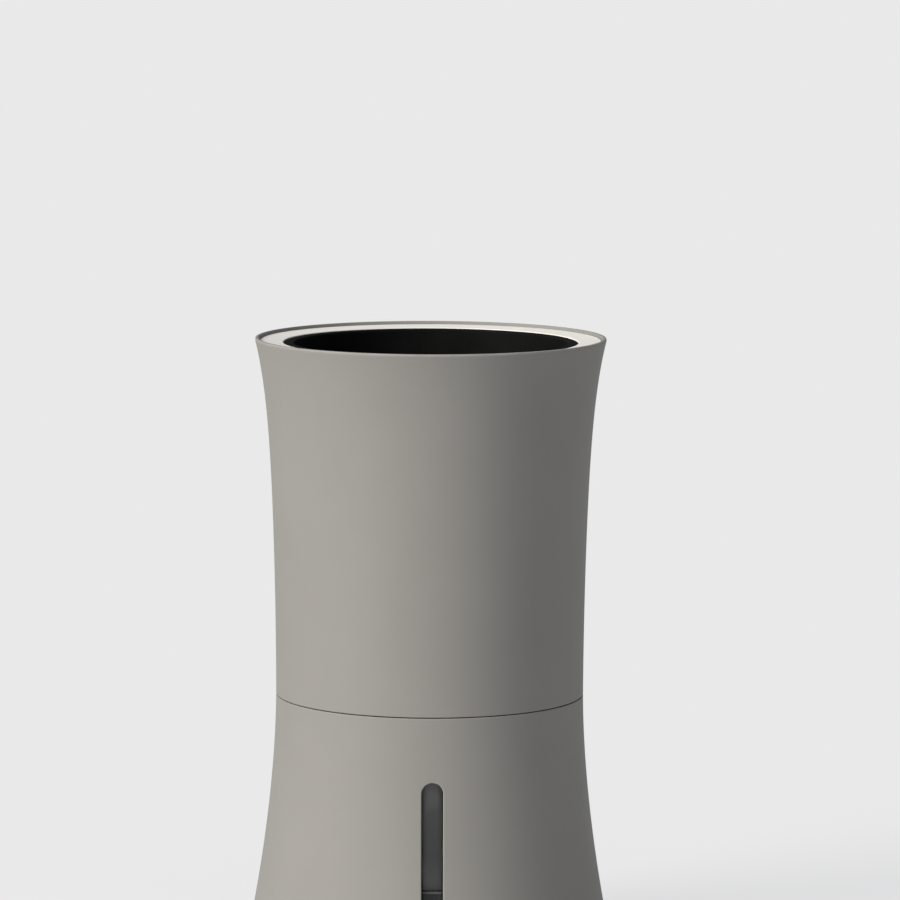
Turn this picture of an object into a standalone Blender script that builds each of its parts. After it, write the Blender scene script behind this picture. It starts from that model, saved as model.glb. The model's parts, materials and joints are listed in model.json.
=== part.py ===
"""Hydroponic planter: a flared pot on a flared water tank, with a pump, a drip ring and a level window.

Metres, +Z up. The origin is the centre of the base on the table, and the window faces -Y.
"""

import math

import bmesh
import bpy
from mathutils import Matrix, Vector

# Outline of the two casings
FOOT_STAND = 0.0020
TANK_HEIGHT = 0.0980
POT_HEIGHT = 0.1350
WAIST_RADIUS = 0.05805
TANK_FLARE = 0.0118
TANK_FLARE_POWER = 1.75
POT_FLARE = 0.00445
POT_FLARE_POWER = 1.9
LIP_FLARE = 0.00365
LIP_FLARE_POWER = 7.0
SHELL_WALL = 0.0026
LIP_WALL = 0.0014
LIP_ROUND = 0.0005
SEAM_ROUND = 0.0004
BASE_ROUND = 0.0012
SEAM_GAP = 0.0010

# Clearances
FIT = 0.0003
RUNNING_GAP = 0.00035

# Base of the tank
BASE_PLATE = 0.0032
BASE_GASKET = 0.0012
SHOULDER_WIDTH = 0.0070
SHOULDER_HEIGHT = 0.0070
BASE_SCREW_COUNT = 4
BASE_SCREW_INSET = 0.6
FOOT_COUNT = 4
FOOT_RADIUS = 0.0065
FOOT_PAD = 0.0030
FOOT_INSET = 0.0112

# Mouth of the tank
MOUTH_WALL = 0.0061
MOUTH_HEIGHT = 0.0080
GROOVE_INSET = 0.0012
GROOVE_WIDTH = 0.0020
GROOVE_DEPTH = 0.0014

# Level window and float
WINDOW_WIDTH = 0.0080
WINDOW_DROP = 0.0240
WINDOW_SILL = 0.0200
WINDOW_RECESS = 0.0010
WINDOW_FLANGE = 0.0014
WINDOW_GASKET = 0.0008
FLANGE_MARGIN = 0.0026
FLOAT_WIDTH = 0.0090
FLOAT_DEPTH = 0.0070
FLOAT_HEIGHT = 0.0140
FLOAT_GAP = 0.0006
FLOAT_ROUND = 0.0012
GUIDE_WALL = 0.0014
GUIDE_SINK = 0.0020
GUIDE_RISE = 0.0060
GUIDE_SLOT_COUNT = 3
GUIDE_SLOT_WIDTH = 0.0040
GUIDE_SLOT_SHARE = 0.6

# Deck, dry bay and ledge of the pot
DECK_THICKNESS = 0.0035
SPIGOT_WALL = 0.0025
SPIGOT_DEPTH = 0.0080
BAY_HEIGHT = 0.0220
COVER_THICKNESS = 0.0030
COVER_FALL = 0.0012
COVER_GASKET = 0.0010
LEDGE_THICKNESS = 0.0050
LEDGE_WIDTH = 0.0157
SEAL_SIDE = 0.0016
SEAL_GROOVE_RISE = 0.0008
DECK_SCREW_EDGE = 0.0050
DECK_SCREW_COUNT = 4
POST_RADIUS = 0.0040
DRAIN_BORE = 0.0065
DRAIN_WALL = 0.0020
DRAIN_FLANGE = 0.0012
DRAIN_FLANGE_MARGIN = 0.0030
DRAIN_REACH = 0.0120

# Screws
SCREW_RADIUS = 0.0015
SCREW_HEAD_RADIUS = 0.0027
SCREW_HEAD = 0.0018
SCREW_BITE = 0.0040
SCREW_DRIVE_RADIUS = 0.0012
SCREW_DRIVE_DEPTH = 0.0010

# Pump
STRAINER_STAND = 0.0045
STRAINER_HEIGHT = 0.0120
STRAINER_WALL = 0.0016
STRAINER_SLOT_COUNT = 10
STRAINER_SLOT_WIDTH = 0.0024
STRAINER_SLOT_HEIGHT = 0.0070
PUMP_RADIUS = 0.0180
PUMP_WALL = 0.0021
PUMP_HEIGHT = 0.0340
PUMP_TOP = 0.0024
PUMP_FLANGE_MARGIN = 0.0020
PUMP_FLANGE_DROP = 0.0090
PUMP_FLANGE = 0.0027
SHAFT_RADIUS = 0.00125
SHAFT_BOSS_RADIUS = 0.0030
SHAFT_BOSS_DROP = 0.0020
SHAFT_SOCKET = 0.0030
STATOR_WALL = 0.0064
STATOR_HEIGHT = 0.0170
ROTOR_GAP = 0.0014
ROTOR_HEIGHT = 0.0195
IMPELLER_RADIUS = 0.0130
IMPELLER_DISC = 0.0022
IMPELLER_VANE_HEIGHT = 0.0026
IMPELLER_VANE_WIDTH = 0.0014
IMPELLER_VANE_COUNT = 5
IMPELLER_HUB_RADIUS = 0.0040
VOLUTE_THICKNESS = 0.0025
VOLUTE_GAP = 0.0008
INLET_RADIUS = 0.0052
NOZZLE_REACH = 0.0080
NOZZLE_RADIUS = 0.0026
NOZZLE_RISE = 0.0090
SPIGOT_PIN_RADIUS = 0.0013
SPIGOT_PIN_LENGTH = 0.0120
SPIGOT_PIN_BORE = 0.0007
HANGER_RING = 0.0030
HANGER_RING_HEIGHT = 0.0070
HANGER_LEG_WIDTH = 0.0080
HANGER_LEG_THICKNESS = 0.0034
HANGER_FOOT_REACH = 0.0100
HANGER_FOOT = 0.0030
HANGER_FOOT_MARGIN = 0.0008
HANGER_BOSS = 0.0040

# Riser tube, lead and their bushes
TUBE_RADIUS = 0.0025
TUBE_WALL = 0.0008
TUBE_HOLE_INSET = 0.0062
TUBE_STRAIGHT = 0.0080
TUBE_HOLE_CLEARANCE = 0.0017
TUBE_END_DROP = 0.0210
TUBE_STEP = 0.0125
BUSH_NECK = 0.0010
BUSH_FLANGE = 0.0016
BUSH_FLANGE_THICKNESS = 0.0010
LEAD_RADIUS = 0.0012
LEAD_X = -0.0190
LEAD_RUN = 0.0010
LEAD_PUMP_Y = 0.0090
LEAD_BEND = 0.0050
LEAD_STEPS = 8
PLUG_WIDTH = 0.0060
PLUG_DEPTH = 0.0050
PLUG_HEIGHT = 0.0046

# Timer board and the service panel at the back
BOARD_WIDTH = 0.0500
BOARD_DEPTH = 0.0200
BOARD_INSET = 0.0210
BOARD_THICKNESS = 0.0016
BOARD_POST_HEIGHT = 0.0060
BOARD_POST_X = 0.0215
CHIP_SIDE = 0.0070
CHIP_HEIGHT = 0.0012
CAPACITOR_RADIUS = 0.0030
CAPACITOR_HEIGHT = 0.0060
CAPACITOR_X = 0.0100
PANEL_WIDTH = 0.0360
PANEL_HEIGHT = 0.0110
PANEL_RECESS = 0.0006
PANEL_FLANGE = 0.0014
PORT_X = -0.0110
PORT_WIDTH = 0.0090
PORT_HEIGHT = 0.0032
PORT_DEPTH = 0.0074
PORT_WALL = 0.0004
PORT_FLOOR = 0.0012
PORT_TONGUE = 0.0007
PORT_TONGUE_DROP = 0.0012
PORT_MARGIN = 0.0004
BUTTON_X = 0.0110
BUTTON_RADIUS = 0.0034
BUTTON_PROUD = 0.0006
BUTTON_FLANGE = 0.0010
BUTTON_FLANGE_MARGIN = 0.0011
BUTTON_TRAVEL = 0.0008
SWITCH_SIDE = 0.0060
SWITCH_HEIGHT = 0.0046
PLUNGER_RADIUS = 0.0012
PLUNGER_REACH = 0.0022
LED_RADIUS = 0.00125
LED_SIDE = 0.0030

# Inner pot and what it holds
CUP_DROP = 0.0019
CUP_RIM_HEIGHT = 0.0065
CUP_RIM_STEP = 0.0017
CUP_TAPER = 0.0086
CUP_WALL = 0.0020
CUP_FLOOR = 0.0024
CUP_FOOT_ROUND = 0.0030
DRAIN_HOLE_RADIUS = 0.0028
DRAIN_HOLE_RINGS = ((4, 0.0120), (8, 0.0280))
COLLAR_WIDTH = 0.0087
COLLAR_DROP = 0.0011
COLLAR_FALL = 0.0006
COLLAR_EDGE = 0.0020
COLLAR_SKIRT_WALL = 0.0016
COLLAR_SKIRT_DEPTH = 0.0050
SCREEN_THICKNESS = 0.0012
SCREEN_HOLE_RADIUS = 0.0018
SCREEN_HOLE_RINGS = ((6, 0.0110), (10, 0.0260))
MEDIUM_DROP = 0.0180
PEBBLE_RADIUS = 0.0050
PEBBLE_HEIGHT = 0.0090
PEBBLE_PITCH = 0.0118
PEBBLE_STAND = 0.0042
PEBBLE_UNEVENNESS = 0.0012
DRIP_RING_INSET = 0.0064
DRIP_TUBE_RADIUS = 0.0026
ELBOW_RADIUS = 0.0021
ELBOW_BEND = 0.0045
ELBOW_PIN_LENGTH = 0.0050

# Facets
TURN_STEPS = 32
SMALL_STEPS = 12
HOLE_STEPS = 8
PIN_STEPS = 6
PUMP_STEPS = 20
PEBBLE_STEPS = 7
PEBBLE_RINGS = 4
ARC_STEPS = 2
POT_OUTLINE_STEPS = 8
TANK_OUTLINE_STEPS = 6
INNER_OUTLINE_STEPS = 4
CUTTER_MARGIN = 0.0050
SMOOTH_ANGLE = math.radians(40)

# Levels and radii that follow from the sizes above
SEAM_Z = FOOT_STAND + TANK_HEIGHT
LIP_Z = SEAM_Z + POT_HEIGHT
TANK_TOP_Z = SEAM_Z - SEAM_GAP / 2
POT_BOTTOM_Z = SEAM_Z + SEAM_GAP / 2
BASE_TOP_Z = FOOT_STAND + BASE_PLATE
SHOULDER_Z = BASE_TOP_Z + BASE_GASKET + 2 * FIT
SHOULDER_TOP_Z = SHOULDER_Z + SHOULDER_HEIGHT
MOUTH_RADIUS = WAIST_RADIUS - MOUTH_WALL
DECK_TOP_Z = POT_BOTTOM_Z + DECK_THICKNESS
COVER_Z = DECK_TOP_Z + BAY_HEIGHT
COVER_TOP_Z = COVER_Z + COVER_THICKNESS
LEDGE_Z = COVER_TOP_Z + COVER_GASKET + 2 * FIT
LEDGE_TOP_Z = LEDGE_Z + LEDGE_THICKNESS
CUP_Z = LEDGE_TOP_Z + FIT
CUP_TOP_Z = LIP_Z - CUP_DROP
MEDIUM_TOP_Z = LIP_Z - MEDIUM_DROP
DRIP_Z = MEDIUM_TOP_Z + FIT + DRIP_TUBE_RADIUS
SPIGOT_RADIUS = MOUTH_RADIUS - FIT
DECK_HOLE_X = SPIGOT_RADIUS - SPIGOT_WALL - TUBE_HOLE_INSET
WINDOW_TOP = SEAM_Z - WINDOW_DROP
WINDOW_BOTTOM = FOOT_STAND + WINDOW_SILL
GUIDE_TOP = WINDOW_TOP + GUIDE_RISE
GUIDE_BOTTOM = WINDOW_BOTTOM - GUIDE_SINK
BOARD_Y = WAIST_RADIUS - BOARD_INSET
LEAD_Y = BOARD_Y - BOARD_DEPTH / 2 - LEAD_BEND - LEAD_RUN
WINDOW_PLUG = SHELL_WALL + 2 * FIT + WINDOW_GASKET
WINDOW_BACK = WINDOW_PLUG + WINDOW_FLANGE
PANEL_PLUG = SHELL_WALL + FIT
PANEL_BACK = PANEL_PLUG + PANEL_FLANGE
BOARD_Z = DECK_TOP_Z + BOARD_POST_HEIGHT + FIT
BOARD_TOP_Z = BOARD_Z + BOARD_THICKNESS
PANEL_Z = BOARD_TOP_Z + FIT + PORT_HEIGHT / 2
STRAINER_Z = BASE_TOP_Z + STRAINER_STAND
PUMP_Z = STRAINER_Z + STRAINER_HEIGHT + FIT
PUMP_TOP_Z = PUMP_Z + PUMP_HEIGHT
PUMP_CAVITY = PUMP_RADIUS - PUMP_WALL
PUMP_CEILING_Z = PUMP_TOP_Z - PUMP_TOP
PUMP_FLANGE_Z = PUMP_TOP_Z - PUMP_FLANGE_DROP
VOLUTE_TOP_Z = PUMP_Z + FIT + VOLUTE_THICKNESS
IMPELLER_Z = VOLUTE_TOP_Z + VOLUTE_GAP
IMPELLER_TOP_Z = IMPELLER_Z + IMPELLER_VANE_HEIGHT + IMPELLER_DISC
STATOR_BORE = PUMP_CAVITY - FIT - STATOR_WALL
NOZZLE_X = PUMP_RADIUS + NOZZLE_REACH
NOZZLE_Z = PUMP_Z + NOZZLE_RISE
NOZZLE_KNEE = NOZZLE_RADIUS + 2 * FIT
TUBE_START_Z = NOZZLE_Z + NOZZLE_KNEE + FIT
TUBE_LEAN_Z = TUBE_START_Z + 2 * TUBE_STRAIGHT
TUBE_UPRIGHT_Z = POT_BOTTOM_Z - TUBE_STRAIGHT
TUBE_END_Z = LIP_Z - TUBE_END_DROP
BUSH_TOP_Z = DECK_TOP_Z + 2 * FIT + BUSH_FLANGE_THICKNESS
DRAIN_RADIUS = DRAIN_BORE + DRAIN_WALL
HANGER_RADIUS = PUMP_RADIUS + 2 * FIT
HANGER_LEG_Y = PUMP_RADIUS + PUMP_FLANGE_MARGIN + 2 * FIT
HANGER_SCREW_Y = HANGER_LEG_Y - HANGER_FOOT_REACH / 2
FRONT = Matrix.Rotation(math.radians(90), 4, "X")

# Colours as linear RGB, with roughness and metallic value
FINISHES = {
    "shell_grey": ((0.40, 0.385, 0.355), 0.55, 0.0),
    "inner_black": ((0.012, 0.012, 0.012), 0.5, 0.0),
    "moulded_dark": ((0.03, 0.03, 0.032), 0.45, 0.0),
    "white_plastic": ((0.70, 0.70, 0.68), 0.4, 0.0),
    "smoked_clear": ((0.05, 0.055, 0.052), 0.12, 0.0),
    "rubber_black": ((0.015, 0.015, 0.015), 0.85, 0.0),
    "silicone": ((0.62, 0.63, 0.61), 0.45, 0.0),
    "steel": ((0.55, 0.55, 0.55), 0.3, 1.0),
    "board_green": ((0.02, 0.12, 0.05), 0.5, 0.0),
    "chip_black": ((0.02, 0.02, 0.022), 0.4, 0.0),
    "magnet": ((0.05, 0.05, 0.055), 0.4, 0.6),
    "copper_resin": ((0.25, 0.09, 0.03), 0.5, 0.2),
    "pebble": ((0.035, 0.027, 0.022), 0.9, 0.0),
    "float_dark": ((0.02, 0.02, 0.02), 0.4, 0.0),
    "collar_grey": ((0.62, 0.61, 0.59), 0.5, 0.0),
}


def pot_radius(z):
    """Outer radius of the pot at height z: a slow flare that opens quickly at the lip."""
    rise = max(0.0, (z - SEAM_Z) / POT_HEIGHT)
    return WAIST_RADIUS + POT_FLARE * rise**POT_FLARE_POWER + LIP_FLARE * rise**LIP_FLARE_POWER


def tank_radius(z):
    """Outer radius of the tank at height z, widest at the table."""
    drop = max(0.0, (SEAM_Z - z) / TANK_HEIGHT)
    return WAIST_RADIUS + TANK_FLARE * drop**TANK_FLARE_POWER


def pot_inner(z):
    """Inner radius of the pot's wall at height z: the wall thins towards the lip."""
    rise = max(0.0, (z - SEAM_Z) / POT_HEIGHT)
    return pot_radius(z) - SHELL_WALL + (SHELL_WALL - LIP_WALL) * rise**LIP_FLARE_POWER


# Radii that follow from the casings' outlines
CUP_RIM_RADIUS = pot_inner(LIP_Z - COLLAR_DROP) - COLLAR_WIDTH - 2 * FIT
CUP_FLOOR_RADIUS = CUP_RIM_RADIUS - CUP_TAPER
LEDGE_INNER = pot_inner(LEDGE_Z) - LEDGE_WIDTH


def cup_radius(z):
    """Outer radius of the inner pot's tapered body at height z."""
    share = (z - CUP_Z) / (CUP_TOP_Z - CUP_Z)
    return CUP_FLOOR_RADIUS + (CUP_RIM_RADIUS - CUP_RIM_STEP - CUP_FLOOR_RADIUS) * share


def steps_between(low, high, count):
    """Evenly spaced values from low to high, ends included."""
    return [low + (high - low) * i / count for i in range(count + 1)]


def ease(low, high, share):
    """A value that leaves low and reaches high with no slope."""
    t = min(1.0, max(0.0, share))
    return low + (high - low) * t * t * (3 - 2 * t)


def arc(x, z, radius, start, end, steps=ARC_STEPS):
    """Points on an arc in degrees, as (radius, height) pairs."""
    angles = [math.radians(a) for a in steps_between(start, end, steps)]
    return [(x + radius * math.cos(a), z + radius * math.sin(a)) for a in angles]


def ring_places(count, radius, first=0.0):
    """Evenly spaced (x, y) places on a circle, with the first angle in degrees."""
    angles = [math.radians(first + 360 * i / count) for i in range(count)]
    return [(radius * math.cos(a), radius * math.sin(a)) for a in angles]


def stadium(width, height):
    """Outline with round ends along its longer side, centred on the origin."""
    radius = min(width, height) / 2
    run_x, run_y = width / 2 - radius, height / 2 - radius
    ends = [(1, 1, 0), (-1, 1, 90), (-1, -1, 180), (1, -1, 270)]
    points = []
    for side_x, side_y, start in ends:
        for point in arc(side_x * run_x, side_y * run_y, radius, start, start + 90, 4):
            if not points or math.dist(point, points[-1]) > 1e-6:
                points.append(point)
    return points[:-1] if math.dist(points[0], points[-1]) < 1e-6 else points


def clear_scene():
    """Empties the scene and makes the two collections."""
    for obj in list(bpy.data.objects):
        bpy.data.objects.remove(obj)
    made = []
    for name in ("hydroponic_planter", "cutters"):
        made.append(bpy.data.collections.new(name))
        bpy.context.scene.collection.children.link(made[-1])
    return made


PARTS, CUTTERS = clear_scene()


def finish(name):
    """The material of that name, made on first use."""
    found = bpy.data.materials.get(name)
    if found:
        return found
    colour, roughness, metallic = FINISHES[name]
    made = bpy.data.materials.new(name)
    made.use_nodes = True
    shader = made.node_tree.nodes["Principled BSDF"]
    shader.inputs["Base Color"].default_value = (*colour, 1.0)
    shader.inputs["Roughness"].default_value = roughness
    shader.inputs["Metallic"].default_value = metallic
    made.diffuse_color = (*colour, 1.0)
    return made


def place(name, mesh, look=None, matrix=None):
    """A part with its material, or a hidden cutter where no look is given."""
    obj = bpy.data.objects.new(name, mesh)
    (PARTS if look else CUTTERS).objects.link(obj)
    if look:
        mesh.materials.clear()
        mesh.materials.append(finish(look))
    else:
        obj.hide_render = True
        obj.display_type = "WIRE"
    if matrix:
        obj.matrix_world = matrix
    return obj


def turned(name, profile, look=None, steps=TURN_STEPS, ring=True, matrix=None):
    """A turned solid: a profile that runs down its outer side, closed on itself where it is a ring."""
    mesh = bpy.data.meshes.new(name)
    links = [(i, i + 1) for i in range(len(profile) - 1)]
    if ring:
        links.append((len(profile) - 1, 0))
    phase = math.pi / steps
    mesh.from_pydata([(r * math.cos(phase), r * math.sin(phase), z) for r, z in profile], links, [])
    obj = place(name, mesh, look, matrix)
    screw = obj.modifiers.new("turn", "SCREW")
    screw.steps = screw.render_steps = steps
    screw.use_merge_vertices = True
    screw.merge_threshold = 1e-6
    screw.use_smooth_shade = True
    return obj


def flat_ring(name, inner, outer, low, high, look=None, steps=TURN_STEPS):
    """A ring of rectangular section."""
    return turned(name, [(outer, high), (outer, low), (inner, low), (inner, high)], look, steps)


def core(name, radius_at, inset, low, high):
    """A cutter: the solid inside a casing's outline, drawn in by inset."""
    heights = steps_between(high, low, TANK_OUTLINE_STEPS)
    outer = [(radius_at(z) - inset, z) for z in heights]
    return turned(name, [(0.0, high), *outer, (0.0, low)], ring=False)


def rods(name, radius, low, high, places, look=None, steps=HOLE_STEPS):
    """Upright cylinders at (x, y) places, in one mesh."""
    body = bmesh.new()
    for x, y in places:
        matrix = Matrix.Translation((x, y, (low + high) / 2))
        bmesh.ops.create_cone(
            body,
            cap_ends=True,
            segments=steps,
            radius1=radius,
            radius2=radius,
            depth=high - low,
            matrix=matrix,
        )
    return from_bmesh(name, body, look)


def rod_along(name, radius, start, end, look=None, steps=HOLE_STEPS):
    """One cylinder from a start point to an end point."""
    start, end = Vector(start), Vector(end)
    turn = (end - start).to_track_quat("Z", "Y").to_matrix().to_4x4()
    body = bmesh.new()
    bmesh.ops.create_cone(
        body,
        cap_ends=True,
        segments=steps,
        radius1=radius,
        radius2=radius,
        depth=(end - start).length,
        matrix=Matrix.Translation((start + end) / 2) @ turn,
    )
    return from_bmesh(name, body, look)


def blocks(name, boxes, look=None, matrix=None, edge=0.0):
    """Boxes given as (low corner, high corner), in one mesh, with an optional bevel."""
    body = bmesh.new()
    for low, high in boxes:
        low, high = Vector(low), Vector(high)
        size = Matrix.Diagonal((*(high - low), 1.0))
        bmesh.ops.create_cube(body, size=1.0, matrix=Matrix.Translation((low + high) / 2) @ size)
    obj = from_bmesh(name, body, look, matrix)
    if edge:
        bevel = obj.modifiers.new("edges", "BEVEL")
        bevel.width = edge
        bevel.segments = 2
    return obj


def from_bmesh(name, body, look=None, matrix=None):
    """An object from a bmesh, which is freed."""
    mesh = bpy.data.meshes.new(name)
    body.to_mesh(mesh)
    body.free()
    return place(name, mesh, look, matrix)


def curve_of(name, points, flat, cyclic):
    """A polyline curve object, to be given a bevel or an extrusion."""
    data = bpy.data.curves.new(name, "CURVE")
    data.dimensions = "2D" if flat else "3D"
    spline = data.splines.new("POLY")
    spline.points.add(len(points) - 1)
    for spot, point in zip(spline.points, points):
        spot.co = (*point, 1.0) if len(point) == 3 else (*point, 0.0, 1.0)
    spline.use_cyclic_u = cyclic
    obj = bpy.data.objects.new(name + "_curve", data)
    CUTTERS.objects.link(obj)
    return obj


def mesh_of(obj):
    """The object's evaluated mesh, as its own data, with loose caps welded."""
    bpy.context.view_layer.update()
    graph = bpy.context.evaluated_depsgraph_get()
    mesh = bpy.data.meshes.new_from_object(obj.evaluated_get(graph))
    body = bmesh.new()
    body.from_mesh(mesh)
    bmesh.ops.remove_doubles(body, verts=body.verts, dist=1e-6)
    bmesh.ops.recalc_face_normals(body, faces=body.faces)
    body.to_mesh(mesh)
    body.free()
    return mesh


def prism(name, outline, low, high, look=None, matrix=FRONT):
    """A flat outline extruded from low to high along its normal, turned by the matrix."""
    curve = curve_of(name, outline, flat=True, cyclic=True)
    curve.data.fill_mode = "BOTH"
    curve.data.extrude = (high - low) / 2
    mesh = mesh_of(curve)
    bpy.data.objects.remove(curve)
    mesh.transform(matrix @ Matrix.Translation((0.0, 0.0, (low + high) / 2)))
    return place(name, mesh, look)


def pipe(name, points, radius, look=None, wall=0.0, cyclic=False):
    """A round bar along a path, or a hose where a wall is given."""
    curve = curve_of(name, points, flat=False, cyclic=cyclic)
    curve.data.bevel_depth = radius
    curve.data.bevel_resolution = 2
    curve.data.use_fill_caps = not wall
    mesh = mesh_of(curve)
    bpy.data.objects.remove(curve)
    obj = place(name, mesh, look)
    if wall:
        hollow = obj.modifiers.new("wall", "SOLIDIFY")
        hollow.thickness = wall
        hollow.offset = -1.0
    return obj


def combine(obj, other, operation):
    """Adds a Boolean of the other solid to obj, and hides the other as a cutter."""
    step = obj.modifiers.new(other.name, "BOOLEAN")
    step.operation = operation
    step.object = other
    return obj


def cut(obj, *others):
    for other in others:
        combine(obj, other, "DIFFERENCE")
    return obj


def keep(obj, *others):
    for other in others:
        combine(obj, other, "INTERSECT")
    return obj


def fuse(obj, *others):
    for other in others:
        combine(obj, other, "UNION")
    return obj


def screws(name, places, under_head_z, length, way=1.0):
    """Screws at (x, y) places with their drive recess outermost, heads below, or above where way is -1."""
    head_z = under_head_z - way * SCREW_HEAD
    profile = [
        (0.0, under_head_z + way * length),
        (SCREW_RADIUS, under_head_z + way * length),
        (SCREW_RADIUS, under_head_z),
        (SCREW_HEAD_RADIUS, under_head_z),
        (SCREW_HEAD_RADIUS, head_z),
        (SCREW_DRIVE_RADIUS, head_z),
        (SCREW_DRIVE_RADIUS, head_z + way * SCREW_DRIVE_DEPTH),
        (0.0, head_z + way * SCREW_DRIVE_DEPTH),
    ]
    if way < 0:
        profile.reverse()
    for number, (x, y) in enumerate(places, 1):
        spot = Matrix.Translation((x, y, 0.0))
        turned(f"{name}_{number}", profile, "steel", HOLE_STEPS, ring=False, matrix=spot)


def bush(name, x, y, bore, look="rubber_black"):
    """A grommet in the deck: a neck in the hole with a flange above and below."""
    neck, rim = bore + BUSH_NECK, bore + BUSH_NECK + BUSH_FLANGE
    top, low = DECK_TOP_Z + FIT, POT_BOTTOM_Z - FIT
    profile = [
        (rim, top + BUSH_FLANGE_THICKNESS),
        (rim, top),
        (neck, top),
        (neck, low),
        (rim, low),
        (rim, low - BUSH_FLANGE_THICKNESS),
        (bore, low - BUSH_FLANGE_THICKNESS),
        (bore, top + BUSH_FLANGE_THICKNESS),
    ]
    return turned(name, profile, look, SMALL_STEPS, matrix=Matrix.Translation((x, y, 0.0)))


# The tank

REBATE_RADIUS = tank_radius(SHOULDER_Z) - SHELL_WALL
BASE_SCREWS = ring_places(BASE_SCREW_COUNT, REBATE_RADIUS - SHOULDER_WIDTH * BASE_SCREW_INSET)
FEET = ring_places(FOOT_COUNT, REBATE_RADIUS - SHOULDER_WIDTH - FOOT_INSET, 45.0)
BASE_SCREW_SEAT_Z = FOOT_STAND + SCREW_HEAD + FIT
BASE_SCREW_LENGTH = SHOULDER_Z + SCREW_BITE - BASE_SCREW_SEAT_Z
WINDOW_Z = (WINDOW_TOP + WINDOW_BOTTOM) / 2
WINDOW_LENGTH = WINDOW_TOP - WINDOW_BOTTOM
WINDOW_PLACE = Matrix.Translation((0.0, 0.0, WINDOW_Z)) @ FRONT


def window_prism(name, grow):
    """The window's outline grown all round, run through the front wall of the tank."""
    outline = stadium(WINDOW_WIDTH + 2 * grow, WINDOW_LENGTH + 2 * grow)
    near, far = WAIST_RADIUS / 2, tank_radius(FOOT_STAND) + CUTTER_MARGIN
    return prism(name, outline, near, far, matrix=WINDOW_PLACE)


def window_core(name, inset):
    """The inside of the tank's outline over the window's height."""
    reach = FLANGE_MARGIN + CUTTER_MARGIN
    return core(name, tank_radius, inset, WINDOW_BOTTOM - reach, WINDOW_TOP + reach)


def make_tank_shell():
    top, foot = tank_radius(TANK_TOP_Z), tank_radius(FOOT_STAND + BASE_ROUND)
    outer = steps_between(TANK_TOP_Z - SEAM_ROUND, FOOT_STAND + BASE_ROUND, TANK_OUTLINE_STEPS)
    inner = steps_between(SHOULDER_TOP_Z, TANK_TOP_Z - MOUTH_HEIGHT - MOUTH_WALL, INNER_OUTLINE_STEPS)
    groove = MOUTH_RADIUS + GROOVE_INSET
    profile = [
        *arc(top - SEAM_ROUND, TANK_TOP_Z - SEAM_ROUND, SEAM_ROUND, 90, 0)[:-1],
        *[(tank_radius(z), z) for z in outer[:-1]],
        *arc(foot - BASE_ROUND, FOOT_STAND + BASE_ROUND, BASE_ROUND, 0, -90),
        (REBATE_RADIUS, FOOT_STAND),
        (REBATE_RADIUS, SHOULDER_Z),
        (REBATE_RADIUS - SHOULDER_WIDTH, SHOULDER_Z),
        (REBATE_RADIUS - SHOULDER_WIDTH, SHOULDER_TOP_Z),
        *[(tank_radius(z) - SHELL_WALL, z) for z in inner],
        (MOUTH_RADIUS, TANK_TOP_Z - MOUTH_HEIGHT),
        (MOUTH_RADIUS, TANK_TOP_Z),
        (groove, TANK_TOP_Z),
        (groove, TANK_TOP_Z - GROOVE_DEPTH),
        (groove + GROOVE_WIDTH, TANK_TOP_Z - GROOVE_DEPTH),
        (groove + GROOVE_WIDTH, TANK_TOP_Z),
    ]
    shell = turned("tank_shell", profile, "shell_grey")
    bite = SHOULDER_Z + SCREW_BITE + FIT
    holes = rods("base_bites", SCREW_RADIUS + FIT, SHOULDER_Z - CUTTER_MARGIN, bite, BASE_SCREWS)
    return cut(shell, window_prism("window_slot", 0.0), holes)


def make_base():
    radius = REBATE_RADIUS - FIT
    plate = turned(
        "base_plate",
        [(0.0, BASE_TOP_Z), (radius, BASE_TOP_Z), (radius, FOOT_STAND), (0.0, FOOT_STAND)],
        "moulded_dark",
        ring=False,
    )
    below = FOOT_STAND - CUTTER_MARGIN
    through = rods("base_screw_holes", SCREW_RADIUS + FIT, below, BASE_TOP_Z + CUTTER_MARGIN, BASE_SCREWS)
    sinks = rods("base_screw_sinks", SCREW_HEAD_RADIUS + FIT, below, BASE_SCREW_SEAT_Z, BASE_SCREWS)
    sockets = rods("foot_sockets", FOOT_RADIUS + FIT, below, FOOT_PAD + FIT, FEET, steps=SMALL_STEPS)
    cut(plate, through, sinks, sockets)
    inner = REBATE_RADIUS - SHOULDER_WIDTH
    gasket = flat_ring("base_gasket", inner, radius, BASE_TOP_Z + FIT, SHOULDER_Z - FIT, "rubber_black")
    cut(gasket, through)
    screws("base_screw", BASE_SCREWS, BASE_SCREW_SEAT_Z - FIT, BASE_SCREW_LENGTH)
    for number, spot in enumerate(FEET, 1):
        foot = rods(f"foot_{number}", FOOT_RADIUS, 0.0, FOOT_PAD, [spot], "rubber_black", SMALL_STEPS)
        edge = foot.modifiers.new("edge", "BEVEL")
        edge.width = FIT


def make_window():
    lens = window_prism("window_lens_plug", -FIT)
    keep(lens, window_core("lens_front", WINDOW_RECESS))
    flange = window_prism("window_lens_flange", FLANGE_MARGIN)
    keep(flange, window_core("flange_front", WINDOW_PLUG))
    fuse(lens, flange)
    cut(lens, window_core("lens_back", WINDOW_BACK))
    place("window_lens", mesh_of(lens), "smoked_clear")
    gasket = window_prism("window_gasket_blank", FLANGE_MARGIN)
    keep(gasket, window_core("gasket_front", SHELL_WALL + FIT))
    cut(gasket, window_core("gasket_back", SHELL_WALL + FIT + WINDOW_GASKET))
    cut(gasket, window_prism("gasket_hole", FIT))
    place("window_gasket", mesh_of(gasket), "rubber_black")


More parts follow.
